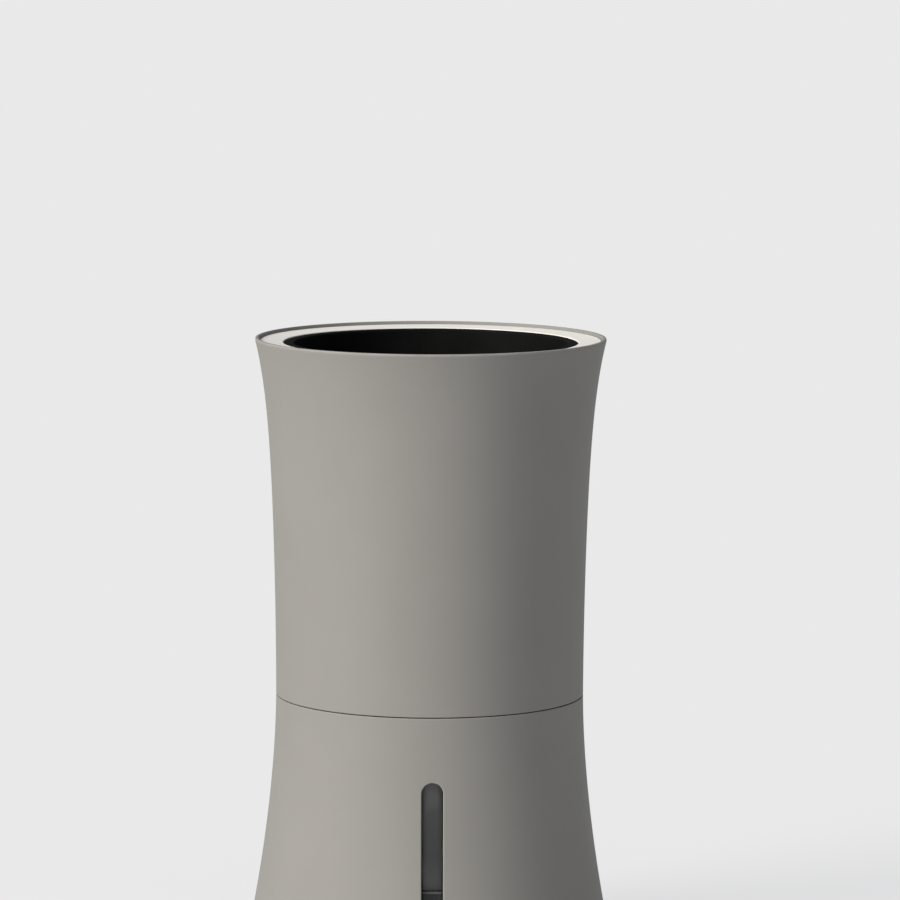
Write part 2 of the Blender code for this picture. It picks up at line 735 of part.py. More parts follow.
def guide_frame():
    """Frame of the float's path: Z runs up behind the window, Y points to the tank's middle."""
    heights = steps_between(GUIDE_BOTTOM, GUIDE_TOP, 2 * TANK_OUTLINE_STEPS)
    walls = [tank_radius(z) - WINDOW_BACK for z in heights]
    lean = math.atan2(walls[0] - walls[-1], GUIDE_TOP - GUIDE_BOTTOM)
    chord = steps_between(walls[0], walls[-1], len(walls) - 1)
    bulge = max(line - wall for line, wall in zip(chord, walls))
    start = Vector((0.0, -(walls[0] - bulge), GUIDE_BOTTOM))
    length = (GUIDE_TOP - GUIDE_BOTTOM) / math.cos(lean)
    return Matrix.Translation(start) @ Matrix.Rotation(-lean, 4, "X"), length


def make_float_and_guide():
    frame, length = guide_frame()
    half, depth = FLOAT_WIDTH / 2 + FLOAT_GAP, FLOAT_DEPTH + 2 * FLOAT_GAP
    front = -WINDOW_BACK - CUTTER_MARGIN
    outer = ((-half - GUIDE_WALL, front, 0.0), (half + GUIDE_WALL, depth + GUIDE_WALL, length))
    guide = blocks("float_guide_blank", [outer], matrix=frame)
    hollow = ((-half, front - CUTTER_MARGIN, GUIDE_WALL), (half, depth, length - GUIDE_WALL))
    pitch = (length - 2 * GUIDE_WALL) / GUIDE_SLOT_COUNT
    slots = []
    for i in range(GUIDE_SLOT_COUNT):
        middle = GUIDE_WALL + pitch * (i + 0.5)
        reach = pitch * GUIDE_SLOT_SHARE / 2
        low = (-half - CUTTER_MARGIN, (depth - GUIDE_SLOT_WIDTH) / 2, middle - reach)
        slots.append((low, (half + CUTTER_MARGIN, (depth + GUIDE_SLOT_WIDTH) / 2, middle + reach)))
    cut(guide, blocks("guide_hollow", [hollow], matrix=frame), blocks("guide_slots", slots, matrix=frame))
    below, above = GUIDE_BOTTOM - 2 * CUTTER_MARGIN, GUIDE_TOP + 2 * CUTTER_MARGIN
    keep(guide, core("guide_wall_side", tank_radius, WINDOW_BACK + FIT, below, above))
    place("float_guide", mesh_of(guide), "shell_grey", frame)
    low = (-FLOAT_WIDTH / 2, FLOAT_GAP, GUIDE_WALL + FIT)
    high = (FLOAT_WIDTH / 2, FLOAT_GAP + FLOAT_DEPTH, GUIDE_WALL + FIT + FLOAT_HEIGHT)
    level = blocks("level_float", [(low, high)], "float_dark", frame, FLOAT_ROUND)
    travel = length - 2 * (GUIDE_WALL + FIT) - FLOAT_HEIGHT
    axis = frame.to_3x3() @ Vector((0.0, 0.0, 1.0))
    print(f"level_float travels {travel:.5f} m along {[round(v, 5) for v in axis]}")
    hang([level], "float_axis", frame)


def make_seam_gasket():
    inner = MOUTH_RADIUS + GROOVE_INSET + FIT
    low = TANK_TOP_Z - GROOVE_DEPTH + FIT
    flat_ring("seam_gasket", inner, inner + GROOVE_WIDTH - 2 * FIT, low, POT_BOTTOM_Z - FIT, "rubber_black")


# The pot

DECK_SCREWS = ring_places(DECK_SCREW_COUNT, LEDGE_INNER + DECK_SCREW_EDGE, 45.0)
DECK_SCREW_SEAT_Z = POT_BOTTOM_Z + SCREW_HEAD + FIT
HANGER_SCREWS = [(0.0, HANGER_SCREW_Y), (0.0, -HANGER_SCREW_Y)]
BOARD_POSTS = [(BOARD_POST_X, BOARD_Y), (-BOARD_POST_X, BOARD_Y)]
LEDGE_HOLE_X = (cup_radius(LEDGE_TOP_Z) + pot_inner(LEDGE_TOP_Z)) / 2
PANEL_OUTLINE_Z = Matrix.Translation((0.0, 0.0, PANEL_Z)) @ FRONT
PANEL_BACK_RADIUS = WAIST_RADIUS - PANEL_BACK


def make_pot_shell():
    low_round, top = pot_radius(POT_BOTTOM_Z) - SEAM_ROUND, LIP_Z - LIP_ROUND
    outer = steps_between(top, POT_BOTTOM_Z + SEAM_ROUND, POT_OUTLINE_STEPS)
    inner = steps_between(LEDGE_TOP_Z, top, INNER_OUTLINE_STEPS)
    profile = [
        *arc(pot_radius(top) - LIP_ROUND, top, LIP_ROUND, 90, 0),
        *[(pot_radius(z), z) for z in outer[1:-1]],
        *arc(low_round, POT_BOTTOM_Z + SEAM_ROUND, SEAM_ROUND, 0, -90),
        (pot_inner(POT_BOTTOM_Z), POT_BOTTOM_Z),
        (pot_inner(LEDGE_Z), LEDGE_Z),
        (LEDGE_INNER, LEDGE_Z),
        (LEDGE_INNER, LEDGE_TOP_Z),
        *[(pot_inner(z), z) for z in inner[:-1]],
        *arc(pot_inner(top) + LIP_ROUND, top, LIP_ROUND, 180, 90),
    ]
    shell = turned("pot_shell", profile, "shell_grey")
    bite = LEDGE_Z + SCREW_BITE
    bites = rods("deck_bites", SCREW_RADIUS + FIT, LEDGE_Z - CUTTER_MARGIN, bite, DECK_SCREWS)
    hole = TUBE_RADIUS + TUBE_HOLE_CLEARANCE
    passage = rods("tube_passage", hole, COVER_Z - FIT, LEDGE_TOP_Z + CUTTER_MARGIN, [(LEDGE_HOLE_X, 0.0)])
    return cut(shell, bites, passage, panel_prism("panel_slot", 0.0))


def panel_prism(name, grow):
    """The service panel's outline grown all round, run through the back wall of the pot."""
    outline = stadium(PANEL_WIDTH + 2 * grow, PANEL_HEIGHT + 2 * grow)
    far, near = -WAIST_RADIUS - CUTTER_MARGIN, -WAIST_RADIUS / 2
    return prism(name, outline, far, near, matrix=PANEL_OUTLINE_Z)


def panel_core(name, inset):
    """The inside of the pot's outline over the panel's height."""
    reach = PANEL_HEIGHT / 2 + FLANGE_MARGIN + CUTTER_MARGIN
    return core(name, pot_radius, inset, PANEL_Z - reach, PANEL_Z + reach)


def back_y(radius, x):
    """How far back a round wall of that radius lies at x."""
    return math.sqrt(radius**2 - x**2)


def make_deck():
    radius = pot_inner(POT_BOTTOM_Z) - FIT
    groove = radius - SEAL_SIDE - FIT
    groove_z = POT_BOTTOM_Z + SEAL_GROOVE_RISE
    groove_top = groove_z + SEAL_SIDE + 2 * FIT
    bore = DRAIN_RADIUS + FIT
    deck = turned(
        "control_deck_blank",
        [
            (radius, DECK_TOP_Z),
            (radius, groove_top),
            (groove, groove_top),
            (groove, groove_z),
            (radius, groove_z),
            (radius, POT_BOTTOM_Z),
            (SPIGOT_RADIUS, POT_BOTTOM_Z),
            (SPIGOT_RADIUS, POT_BOTTOM_Z - SPIGOT_DEPTH),
            (SPIGOT_RADIUS - SPIGOT_WALL, POT_BOTTOM_Z - SPIGOT_DEPTH),
            (SPIGOT_RADIUS - SPIGOT_WALL, POT_BOTTOM_Z),
            (bore, POT_BOTTOM_Z),
            (bore, DECK_TOP_Z),
        ],
    )
    root = DECK_TOP_Z - DECK_THICKNESS / 2
    boss_z, stand_z = DECK_TOP_Z + HANGER_BOSS, DECK_TOP_Z + BOARD_POST_HEIGHT
    fuse(
        deck,
        rods("deck_posts", POST_RADIUS, root, COVER_Z - FIT, DECK_SCREWS, steps=SMALL_STEPS),
        rods("hanger_bosses", POST_RADIUS, root, boss_z, HANGER_SCREWS, steps=SMALL_STEPS),
        rods("board_stands", POST_RADIUS, root, stand_z, BOARD_POSTS, steps=SMALL_STEPS),
    )
    tube_hole, lead_hole = TUBE_RADIUS + BUSH_NECK + 2 * FIT, LEAD_RADIUS + BUSH_NECK + 2 * FIT
    below, above = POT_BOTTOM_Z - CUTTER_MARGIN, COVER_Z + CUTTER_MARGIN
    cut(
        deck,
        rods("deck_screw_holes", SCREW_RADIUS + FIT, below, above, DECK_SCREWS),
        rods("deck_screw_sinks", SCREW_HEAD_RADIUS + FIT, below, DECK_SCREW_SEAT_Z, DECK_SCREWS),
        rods("hanger_bites", SCREW_RADIUS + FIT, below, POT_BOTTOM_Z + SCREW_BITE + FIT, HANGER_SCREWS),
        rods("board_bites", SCREW_RADIUS + FIT, BOARD_Z - SCREW_BITE - 2 * FIT, above, BOARD_POSTS),
        rods("tube_hole", tube_hole, below, above, [(DECK_HOLE_X, 0.0)], steps=SMALL_STEPS),
        rods("lead_hole", lead_hole, below, above, [(LEAD_X, LEAD_Y)], steps=SMALL_STEPS),
    )
    place("control_deck", mesh_of(deck), "moulded_dark")
    flat_ring("deck_seal", groove + FIT, radius, groove_z + FIT, groove_top - FIT, "rubber_black")
    length = LEDGE_Z + SCREW_BITE - FIT - DECK_SCREW_SEAT_Z
    screws("deck_screw", DECK_SCREWS, DECK_SCREW_SEAT_Z - FIT, length)


def make_cover():
    radius, bore = pot_inner(COVER_Z) - FIT, DRAIN_RADIUS + FIT
    seat = bore + DRAIN_FLANGE_MARGIN + FIT
    tray_z = COVER_TOP_Z - COVER_FALL
    cover = turned(
        "deck_cover_blank",
        [
            (radius, COVER_TOP_Z),
            (radius, COVER_Z),
            (bore, COVER_Z),
            (bore, tray_z - DRAIN_FLANGE - FIT),
            (seat, tray_z - DRAIN_FLANGE - FIT),
            (seat, tray_z),
            (LEDGE_INNER, COVER_TOP_Z),
        ],
    )
    below, above = COVER_Z - CUTTER_MARGIN, LEDGE_TOP_Z
    holes = rods("cover_screw_holes", SCREW_RADIUS + FIT, below, above, DECK_SCREWS)
    hole = TUBE_RADIUS + TUBE_HOLE_CLEARANCE
    passage = rods("cover_passage", hole, below, above, [(LEDGE_HOLE_X, 0.0)])
    cut(cover, holes, passage)
    place("deck_cover", mesh_of(cover), "moulded_dark")
    gasket = flat_ring("cover_gasket_blank", LEDGE_INNER + FIT, radius, COVER_TOP_Z + FIT, LEDGE_Z - FIT)
    cut(gasket, holes, passage)
    place("cover_gasket", mesh_of(gasket), "rubber_black")
    drain_z, flange = POT_BOTTOM_Z - DRAIN_REACH, DRAIN_RADIUS + DRAIN_FLANGE_MARGIN
    turned(
        "drain_tube",
        [
            (flange, tray_z),
            (flange, tray_z - DRAIN_FLANGE),
            (DRAIN_RADIUS, tray_z - DRAIN_FLANGE),
            (DRAIN_RADIUS, drain_z),
            (DRAIN_BORE, drain_z),
            (DRAIN_BORE, tray_z),
        ],
        "moulded_dark",
        PUMP_STEPS,
    )


def make_pump_housing():
    flange = PUMP_RADIUS + PUMP_FLANGE_MARGIN
    socket_z = PUMP_CEILING_Z - SHAFT_BOSS_DROP + SHAFT_SOCKET
    profile = [
        (0.0, PUMP_TOP_Z),
        (PUMP_RADIUS, PUMP_TOP_Z),
        (PUMP_RADIUS, PUMP_FLANGE_Z),
        (flange, PUMP_FLANGE_Z),
        (flange, PUMP_FLANGE_Z - PUMP_FLANGE),
        (PUMP_RADIUS, PUMP_FLANGE_Z - PUMP_FLANGE),
        (PUMP_RADIUS, PUMP_Z),
        (PUMP_CAVITY, PUMP_Z),
        (PUMP_CAVITY, PUMP_CEILING_Z),
        (SHAFT_BOSS_RADIUS, PUMP_CEILING_Z),
        (SHAFT_BOSS_RADIUS, PUMP_CEILING_Z - SHAFT_BOSS_DROP),
        (SHAFT_RADIUS + FIT, PUMP_CEILING_Z - SHAFT_BOSS_DROP),
        (SHAFT_RADIUS + FIT, socket_z),
        (0.0, socket_z),
    ]
    housing = turned("pump_housing_blank", profile, steps=PUMP_STEPS, ring=False)
    wall_x = PUMP_RADIUS - PUMP_WALL / 2
    arm = rod_along("nozzle_arm", NOZZLE_RADIUS, (wall_x, 0.0, NOZZLE_Z), (NOZZLE_X, 0.0, NOZZLE_Z))
    knee_low, knee_top = NOZZLE_Z - NOZZLE_KNEE, NOZZLE_Z + NOZZLE_KNEE
    knee = rods("nozzle_knee", NOZZLE_KNEE, knee_low, knee_top, [(NOZZLE_X, 0.0)], steps=SMALL_STEPS)
    pin_top = knee_top + SPIGOT_PIN_LENGTH
    pin = rods("nozzle_pin", SPIGOT_PIN_RADIUS, NOZZLE_Z, pin_top, [(NOZZLE_X, 0.0)])
    fuse(housing, arm, knee, pin)
    bore = SPIGOT_PIN_BORE
    inside = (PUMP_CAVITY - CUTTER_MARGIN, 0.0, NOZZLE_Z)
    across = rod_along("nozzle_bore", bore, inside, (NOZZLE_X + bore, 0.0, NOZZLE_Z))
    upward = rods("pin_bore", bore, NOZZLE_Z, pin_top + CUTTER_MARGIN, [(NOZZLE_X, 0.0)], steps=PIN_STEPS)
    cut(housing, across, upward)
    place("pump_housing", mesh_of(housing), "moulded_dark")
    return socket_z


def make_pump():
    socket_z = make_pump_housing()
    stator_top = PUMP_CEILING_Z - FIT
    stator_low = stator_top - STATOR_HEIGHT
    rim = PUMP_CAVITY - FIT
    flat_ring("pump_stator", STATOR_BORE, rim, stator_low, stator_top, "copper_resin", PUMP_STEPS)
    shaft_low = PUMP_Z + FIT
    rods("pump_shaft", SHAFT_RADIUS, shaft_low, socket_z - FIT, [(0.0, 0.0)], "steel", SMALL_STEPS)
    cover = flat_ring("volute_blank", INLET_RADIUS, rim, PUMP_Z + FIT, VOLUTE_TOP_Z, steps=PUMP_STEPS)
    reach = INLET_RADIUS + STRAINER_WALL
    half = SHAFT_BOSS_RADIUS / 2
    bar = ((-reach, -half, PUMP_Z + 2 * FIT), (reach, half, VOLUTE_TOP_Z - FIT))
    hub = rods("volute_hub", SHAFT_BOSS_RADIUS, PUMP_Z + FIT, VOLUTE_TOP_Z, [(0.0, 0.0)], steps=SMALL_STEPS)
    fuse(cover, blocks("volute_bar", [bar]), hub)
    below = PUMP_Z - CUTTER_MARGIN
    cut(cover, rods("volute_bore", SHAFT_RADIUS + FIT, below, IMPELLER_Z, [(0.0, 0.0)], steps=SMALL_STEPS))
    place("volute_cover", mesh_of(cover), "moulded_dark")
    make_strainer()
    make_impeller()


def make_strainer():
    inside, top = PUMP_RADIUS - STRAINER_WALL, STRAINER_Z + STRAINER_HEIGHT
    profile = [
        (0.0, STRAINER_Z + STRAINER_WALL),
        (inside, STRAINER_Z + STRAINER_WALL),
        (inside, top),
        (PUMP_RADIUS, top),
        (PUMP_RADIUS, STRAINER_Z),
        (0.0, STRAINER_Z),
    ]
    basket = turned("strainer_blank", profile, steps=STRAINER_SLOT_COUNT * 2, ring=False)
    middle = STRAINER_Z + STRAINER_HEIGHT / 2
    half = STRAINER_SLOT_WIDTH / 2
    for i in range(STRAINER_SLOT_COUNT):
        low = (inside - CUTTER_MARGIN, -half, middle - STRAINER_SLOT_HEIGHT / 2)
        high = (PUMP_RADIUS + CUTTER_MARGIN, half, middle + STRAINER_SLOT_HEIGHT / 2)
        turn = Matrix.Rotation(2 * math.pi * (i + 0.5) / STRAINER_SLOT_COUNT, 4, "Z")
        cut(basket, blocks(f"strainer_slot_{i}", [(low, high)], matrix=turn))
    place("strainer", mesh_of(basket), "moulded_dark")


def make_impeller():
    bore, disc_z = SHAFT_RADIUS + RUNNING_GAP, IMPELLER_Z + IMPELLER_VANE_HEIGHT
    profile = [
        (IMPELLER_RADIUS, IMPELLER_TOP_Z),
        (IMPELLER_RADIUS, disc_z),
        (IMPELLER_HUB_RADIUS, disc_z),
        (IMPELLER_HUB_RADIUS, IMPELLER_Z),
        (bore, IMPELLER_Z),
        (bore, IMPELLER_TOP_Z),
    ]
    wheel = turned("impeller_blank", profile, steps=SMALL_STEPS)
    half = IMPELLER_VANE_WIDTH / 2
    for i in range(IMPELLER_VANE_COUNT):
        low = (IMPELLER_HUB_RADIUS - 2 * half, -half, IMPELLER_Z + FIT)
        high = (IMPELLER_RADIUS - FIT, half, disc_z + IMPELLER_DISC / 2)
        turn = Matrix.Rotation(2 * math.pi * i / IMPELLER_VANE_COUNT, 4, "Z")
        fuse(wheel, blocks(f"impeller_vane_{i}", [(low, high)], matrix=turn))
    impeller = place("impeller", mesh_of(wheel), "white_plastic")
    rotor = STATOR_BORE - ROTOR_GAP
    low = IMPELLER_TOP_Z + FIT
    magnet = flat_ring("rotor_magnet", bore, rotor, low, low + ROTOR_HEIGHT, "magnet", SMALL_STEPS)
    hang([impeller, magnet], "impeller_axis", Matrix.Translation((0.0, 0.0, IMPELLER_Z)))


def make_hanger():
    ring_top = PUMP_FLANGE_Z - PUMP_FLANGE - FIT
    ring_low = ring_top - HANGER_RING_HEIGHT
    rim = HANGER_RADIUS + HANGER_RING
    ring = flat_ring("pump_hanger_blank", HANGER_RADIUS, rim, ring_low, ring_top, steps=PUMP_STEPS)
    top, half = POT_BOTTOM_Z - FIT, HANGER_LEG_WIDTH / 2
    near, far = HANGER_LEG_Y, HANGER_LEG_Y + HANGER_LEG_THICKNESS
    wide, back = half + HANGER_FOOT_MARGIN, far + HANGER_FOOT_MARGIN
    for side, name in ((1, "rear"), (-1, "front")):
        turn = Matrix.Rotation(0.0 if side > 0 else math.pi, 4, "Z")
        leg = ((-half, near, ring_low + FIT), (half, far, top - HANGER_FOOT / 2))
        foot = ((-wide, near - HANGER_FOOT_REACH, top - HANGER_FOOT), (wide, back, top))
        fuse(ring, blocks(f"hanger_leg_{name}", [leg], matrix=turn))
        fuse(ring, blocks(f"hanger_foot_{name}", [foot], matrix=turn))
    below, above = top - 2 * HANGER_FOOT, top + CUTTER_MARGIN
    cut(ring, rods("hanger_holes", SCREW_RADIUS + FIT, below, above, HANGER_SCREWS))
    place("pump_hanger", mesh_of(ring), "moulded_dark")
    seat = top - HANGER_FOOT - FIT
    screws("hanger_screw", HANGER_SCREWS, seat, POT_BOTTOM_Z + SCREW_BITE - seat)


def riser_x(z):
    """The hose's distance from the axis: up from the pump, through the deck, then between the two pots."""
    if z < TUBE_UPRIGHT_Z:
        return ease(NOZZLE_X, DECK_HOLE_X, (z - TUBE_LEAN_Z) / (TUBE_UPRIGHT_Z - TUBE_LEAN_Z))
    if z < COVER_Z:
        return ease(DECK_HOLE_X, LEDGE_HOLE_X, (z - BUSH_TOP_Z) / (COVER_Z - BUSH_TOP_Z))
    level = min(max(z, LEDGE_TOP_Z), TUBE_END_Z - TUBE_STRAIGHT)
    return (cup_radius(level) + pot_inner(level)) / 2


def riser_heights():
    """Heights of the hose's points: the ends of its upright stretches, with even steps between them."""
    bends = [TUBE_START_Z, TUBE_LEAN_Z, TUBE_UPRIGHT_Z, BUSH_TOP_Z, COVER_Z, LEDGE_TOP_Z]
    bends += [TUBE_END_Z - TUBE_STRAIGHT, TUBE_END_Z]
    heights = bends[:1]
    for low, high in zip(bends, bends[1:]):
        heights += steps_between(low, high, math.ceil((high - low) / TUBE_STEP))[1:]
    return heights


def make_tube():
    route = [(riser_x(z), 0.0, z) for z in riser_heights()]
    tube = pipe("riser_tube_blank", route, TUBE_RADIUS, wall=TUBE_WALL)
    place("riser_tube", mesh_of(tube), "silicone")
    bush("tube_grommet", DECK_HOLE_X, 0.0, TUBE_RADIUS + FIT)


def lead_path():
    """The pump's wire: up from the pump, across to its gland, and over to the plug on the board."""
    low, high = PUMP_TOP_Z + FIT, POT_BOTTOM_Z - TUBE_STRAIGHT
    points = []
    for z in steps_between(low, high, LEAD_STEPS):
        share = (z - low - TUBE_STRAIGHT / 2) / (high - low - TUBE_STRAIGHT / 2)
        points.append((ease(0.0, LEAD_X, share), ease(LEAD_PUMP_Y, LEAD_Y, share), z))
    level = BOARD_TOP_Z + FIT + PLUG_HEIGHT / 2
    points.append((LEAD_X, LEAD_Y, BUSH_TOP_Z))
    bend = arc(LEAD_Y + LEAD_BEND, level - LEAD_BEND, LEAD_BEND, 180, 90, 4)
    points += [(LEAD_X, y, z) for y, z in bend]
    points.append((LEAD_X, BOARD_Y - BOARD_DEPTH / 2 - FIT, level))
    return points


def make_lead():
    lead = pipe("pump_lead_blank", lead_path(), LEAD_RADIUS)
    place("pump_lead", mesh_of(lead), "rubber_black")
    bush("lead_gland", LEAD_X, LEAD_Y, LEAD_RADIUS + FIT)
    near, low = BOARD_Y - BOARD_DEPTH / 2, BOARD_TOP_Z + FIT
    half = PLUG_WIDTH / 2
    body = ((LEAD_X - half, near, low), (LEAD_X + half, near + PLUG_DEPTH, low + PLUG_HEIGHT))
    blocks("lead_plug", [body], "white_plastic", edge=FIT)


def make_board():
    half_x, half_y = BOARD_WIDTH / 2, BOARD_DEPTH / 2
    slab = ((-half_x, BOARD_Y - half_y, BOARD_Z), (half_x, BOARD_Y + half_y, BOARD_TOP_Z))
    board = blocks("control_board_blank", [slab])
    above = BOARD_TOP_Z + CUTTER_MARGIN
    cut(board, rods("board_holes", SCREW_RADIUS + FIT, BOARD_Z - CUTTER_MARGIN, above, BOARD_POSTS))
    place("control_board", mesh_of(board), "board_green")
    low = BOARD_TOP_Z + FIT
    screws("board_screw", BOARD_POSTS, low, BOARD_THICKNESS + SCREW_BITE, way=-1.0)
    half = CHIP_SIDE / 2
    chip = ((-half, BOARD_Y - half, low), (half, BOARD_Y + half, low + CHIP_HEIGHT))
    blocks("timer_chip", [chip], "chip_black")
    top, spot = low + CAPACITOR_HEIGHT, (CAPACITOR_X, BOARD_Y)
    rods("supply_capacitor", CAPACITOR_RADIUS, low, top, [spot], "steel", SMALL_STEPS)
    led_y = BOARD_Y + half_y - LED_SIDE
    led = ((-LED_SIDE / 2, led_y, low), (LED_SIDE / 2, led_y + LED_SIDE, PANEL_Z + LED_RADIUS))
    blocks("led_chip", [led], "white_plastic")


def rod_back(name, radius, x, near, far, look=None, steps=HOLE_STEPS):
    """A cylinder at the panel's height that runs straight back, from near to far."""
    return rod_along(name, radius, (x, near, PANEL_Z), (x, far, PANEL_Z), look, steps)


def make_panel():
    plate = panel_prism("panel_plug", -FIT)
    keep(plate, panel_core("panel_front", PANEL_RECESS))
    flange = panel_prism("panel_flange", FLANGE_MARGIN)
    keep(flange, panel_core("panel_flange_front", PANEL_PLUG))
    fuse(plate, flange)
    near, far = BOARD_Y, WAIST_RADIUS + CUTTER_MARGIN
    port = stadium(PORT_WIDTH + 2 * PORT_MARGIN, PORT_HEIGHT + 2 * PORT_MARGIN)
    port_place = Matrix.Translation((PORT_X, 0.0, PANEL_Z)) @ FRONT
    cut(
        plate,
        panel_core("panel_back", PANEL_BACK),
        prism("port_hole", port, -far, -near, matrix=port_place),
        rod_back("button_hole", BUTTON_RADIUS + FIT, BUTTON_X, near, far, steps=SMALL_STEPS),
        rod_back("led_hole", LED_RADIUS + FIT, 0.0, near, far),
    )
    place("service_panel", mesh_of(plate), "inner_black")
    led_y = BOARD_Y + BOARD_DEPTH / 2 + FIT
    pipe_end = WAIST_RADIUS - PANEL_RECESS
    rod_back("led_pipe", LED_RADIUS, 0.0, led_y, pipe_end, "white_plastic")


def make_power_inlet():
    front = back_y(PANEL_BACK_RADIUS, abs(PORT_X) + PORT_WIDTH / 2) - FIT
    place_port = Matrix.Translation((PORT_X, 0.0, PANEL_Z)) @ FRONT
    rim = stadium(PORT_WIDTH, PORT_HEIGHT)
    shell = prism("power_inlet_blank", rim, -front, PORT_DEPTH - front, matrix=place_port)
    mouth = stadium(PORT_WIDTH - 2 * PORT_WALL, PORT_HEIGHT - 2 * PORT_WALL)
    floor = PORT_DEPTH - PORT_FLOOR - front
    cut(shell, prism("inlet_hollow", mouth, -front - CUTTER_MARGIN, floor, matrix=place_port))
    half = PORT_WIDTH / 2 - PORT_HEIGHT / 2
    low = (PORT_X - half, front - PORT_DEPTH + PORT_FLOOR / 2, PANEL_Z - PORT_TONGUE / 2)
    high = (PORT_X + half, front - PORT_TONGUE_DROP, PANEL_Z + PORT_TONGUE / 2)
    fuse(shell, blocks("inlet_tongue", [(low, high)]))
    place("power_inlet", mesh_of(shell), "steel")


def make_button():
    flange = BUTTON_RADIUS + BUTTON_FLANGE_MARGIN
    stop_y = back_y(PANEL_BACK_RADIUS, abs(BUTTON_X) + flange) - FIT
    face_y = back_y(WAIST_RADIUS - PANEL_RECESS, BUTTON_X) + BUTTON_PROUD
    back = stop_y - BUTTON_FLANGE
    cap = rod_back("button_cap_blank", BUTTON_RADIUS, BUTTON_X, stop_y - FIT, face_y, steps=SMALL_STEPS)
    fuse(cap, rod_back("button_rim", flange, BUTTON_X, back, stop_y, steps=SMALL_STEPS))
    button = place("button_cap", mesh_of(cap), "inner_black")
    plunger_front = back - FIT
    switch_front = plunger_front - BUTTON_TRAVEL - FIT
    plunger_back = switch_front - PLUNGER_REACH
    bore_back = plunger_back - BUTTON_TRAVEL - FIT
    ends = (plunger_back, plunger_front)
    plunger = rod_back("switch_plunger", PLUNGER_RADIUS, BUTTON_X, *ends, "white_plastic")
    low = (BUTTON_X - SWITCH_SIDE / 2, switch_front - SWITCH_SIDE, BOARD_TOP_Z + FIT)
    high = (BUTTON_X + SWITCH_SIDE / 2, switch_front, BOARD_TOP_Z + FIT + SWITCH_HEIGHT)
    switch = blocks("button_switch_blank", [(low, high)])
    bore_end = switch_front + CUTTER_MARGIN
    cut(switch, rod_back("switch_bore", PLUNGER_RADIUS + FIT, BUTTON_X, bore_back, bore_end))
    place("button_switch", mesh_of(switch), "chip_black")
    hang([button, plunger], "button_axis", Matrix.Translation((BUTTON_X, face_y, PANEL_Z)))


# The inner pot


def make_cup():
    rim_z = CUP_TOP_Z - CUP_RIM_HEIGHT
    inner = cup_radius(CUP_Z + CUP_FLOOR) - CUP_WALL
    profile = [
        (0.0, CUP_Z + CUP_FLOOR),
        (inner, CUP_Z + CUP_FLOOR),
        (cup_radius(CUP_TOP_Z) - CUP_WALL, CUP_TOP_Z),
        (CUP_RIM_RADIUS, CUP_TOP_Z),
        (CUP_RIM_RADIUS, rim_z),
        (cup_radius(rim_z - CUP_RIM_STEP), rim_z - CUP_RIM_STEP),
        *arc(cup_radius(CUP_Z) - CUP_FOOT_ROUND, CUP_Z + CUP_FOOT_ROUND, CUP_FOOT_ROUND, 0, -90, 2),
        (0.0, CUP_Z),
    ]
    cup = turned("inner_pot_blank", profile, ring=False)
    places = [spot for count, radius in DRAIN_HOLE_RINGS for spot in ring_places(count, radius)]
    below, above = CUP_Z - CUTTER_MARGIN, CUP_Z + CUP_FLOOR + CUTTER_MARGIN
    cut(cup, rods("drain_holes", DRAIN_HOLE_RADIUS, below, above, places))
    inside = (cup_radius(DRIP_Z) - CUP_WALL - CUTTER_MARGIN, 0.0, DRIP_Z)
    outside = (pot_inner(DRIP_Z), 0.0, DRIP_Z)
    cut(cup, rod_along("elbow_hole", ELBOW_RADIUS + 2 * FIT, inside, outside))
    return place("inner_pot", mesh_of(cup), "inner_black")


def make_collar():
    top = LIP_Z - COLLAR_DROP
    low = top - COLLAR_EDGE
    inner = CUP_RIM_RADIUS + FIT
    skirt = inner + COLLAR_SKIRT_WALL
    profile = [
        (pot_inner(top) - FIT, top),
        (pot_inner(low) - FIT, low),
        (skirt, low),
        (skirt, CUP_TOP_Z - COLLAR_SKIRT_DEPTH),
        (inner, CUP_TOP_Z - COLLAR_SKIRT_DEPTH),
        (inner, top - COLLAR_FALL),
    ]
    return turned("rim_collar", profile, "collar_grey")


def bed_edge(z):
    return cup_radius(z) - CUP_WALL - FIT


def pebble_places():
    """Lays the pebbles on a golden-angle spiral, each with its own top level."""
    golden = (math.sqrt(5) - 1) / 2
    spread = PEBBLE_PITCH * math.sqrt(math.sqrt(3) / (2 * math.pi))
    reach = bed_edge(MEDIUM_TOP_Z - PEBBLE_STAND) - PEBBLE_RADIUS - FIT
    places = []
    for i in range(int((reach / spread) ** 2 + 0.5)):
        radius, turn = spread * math.sqrt(i + 0.5), 2 * math.pi * golden * i
        top = MEDIUM_TOP_Z - PEBBLE_UNEVENNESS * (i * golden % 1.0)
        places.append((radius * math.cos(turn), radius * math.sin(turn), top))
    return places


def make_pebbles():
    body = bmesh.new()
    shape = Matrix.Diagonal((PEBBLE_RADIUS, PEBBLE_RADIUS, PEBBLE_HEIGHT / 2, 1.0))
    for i, (x, y, top) in enumerate(pebble_places()):
        spot = Matrix.Translation((x, y, top - PEBBLE_HEIGHT / 2)) @ Matrix.Rotation(i, 4, "Z") @ shape
        bmesh.ops.create_uvsphere(
            body, u_segments=PEBBLE_STEPS, v_segments=PEBBLE_RINGS, radius=1.0, matrix=spot
        )
    return from_bmesh("pebbles", body)


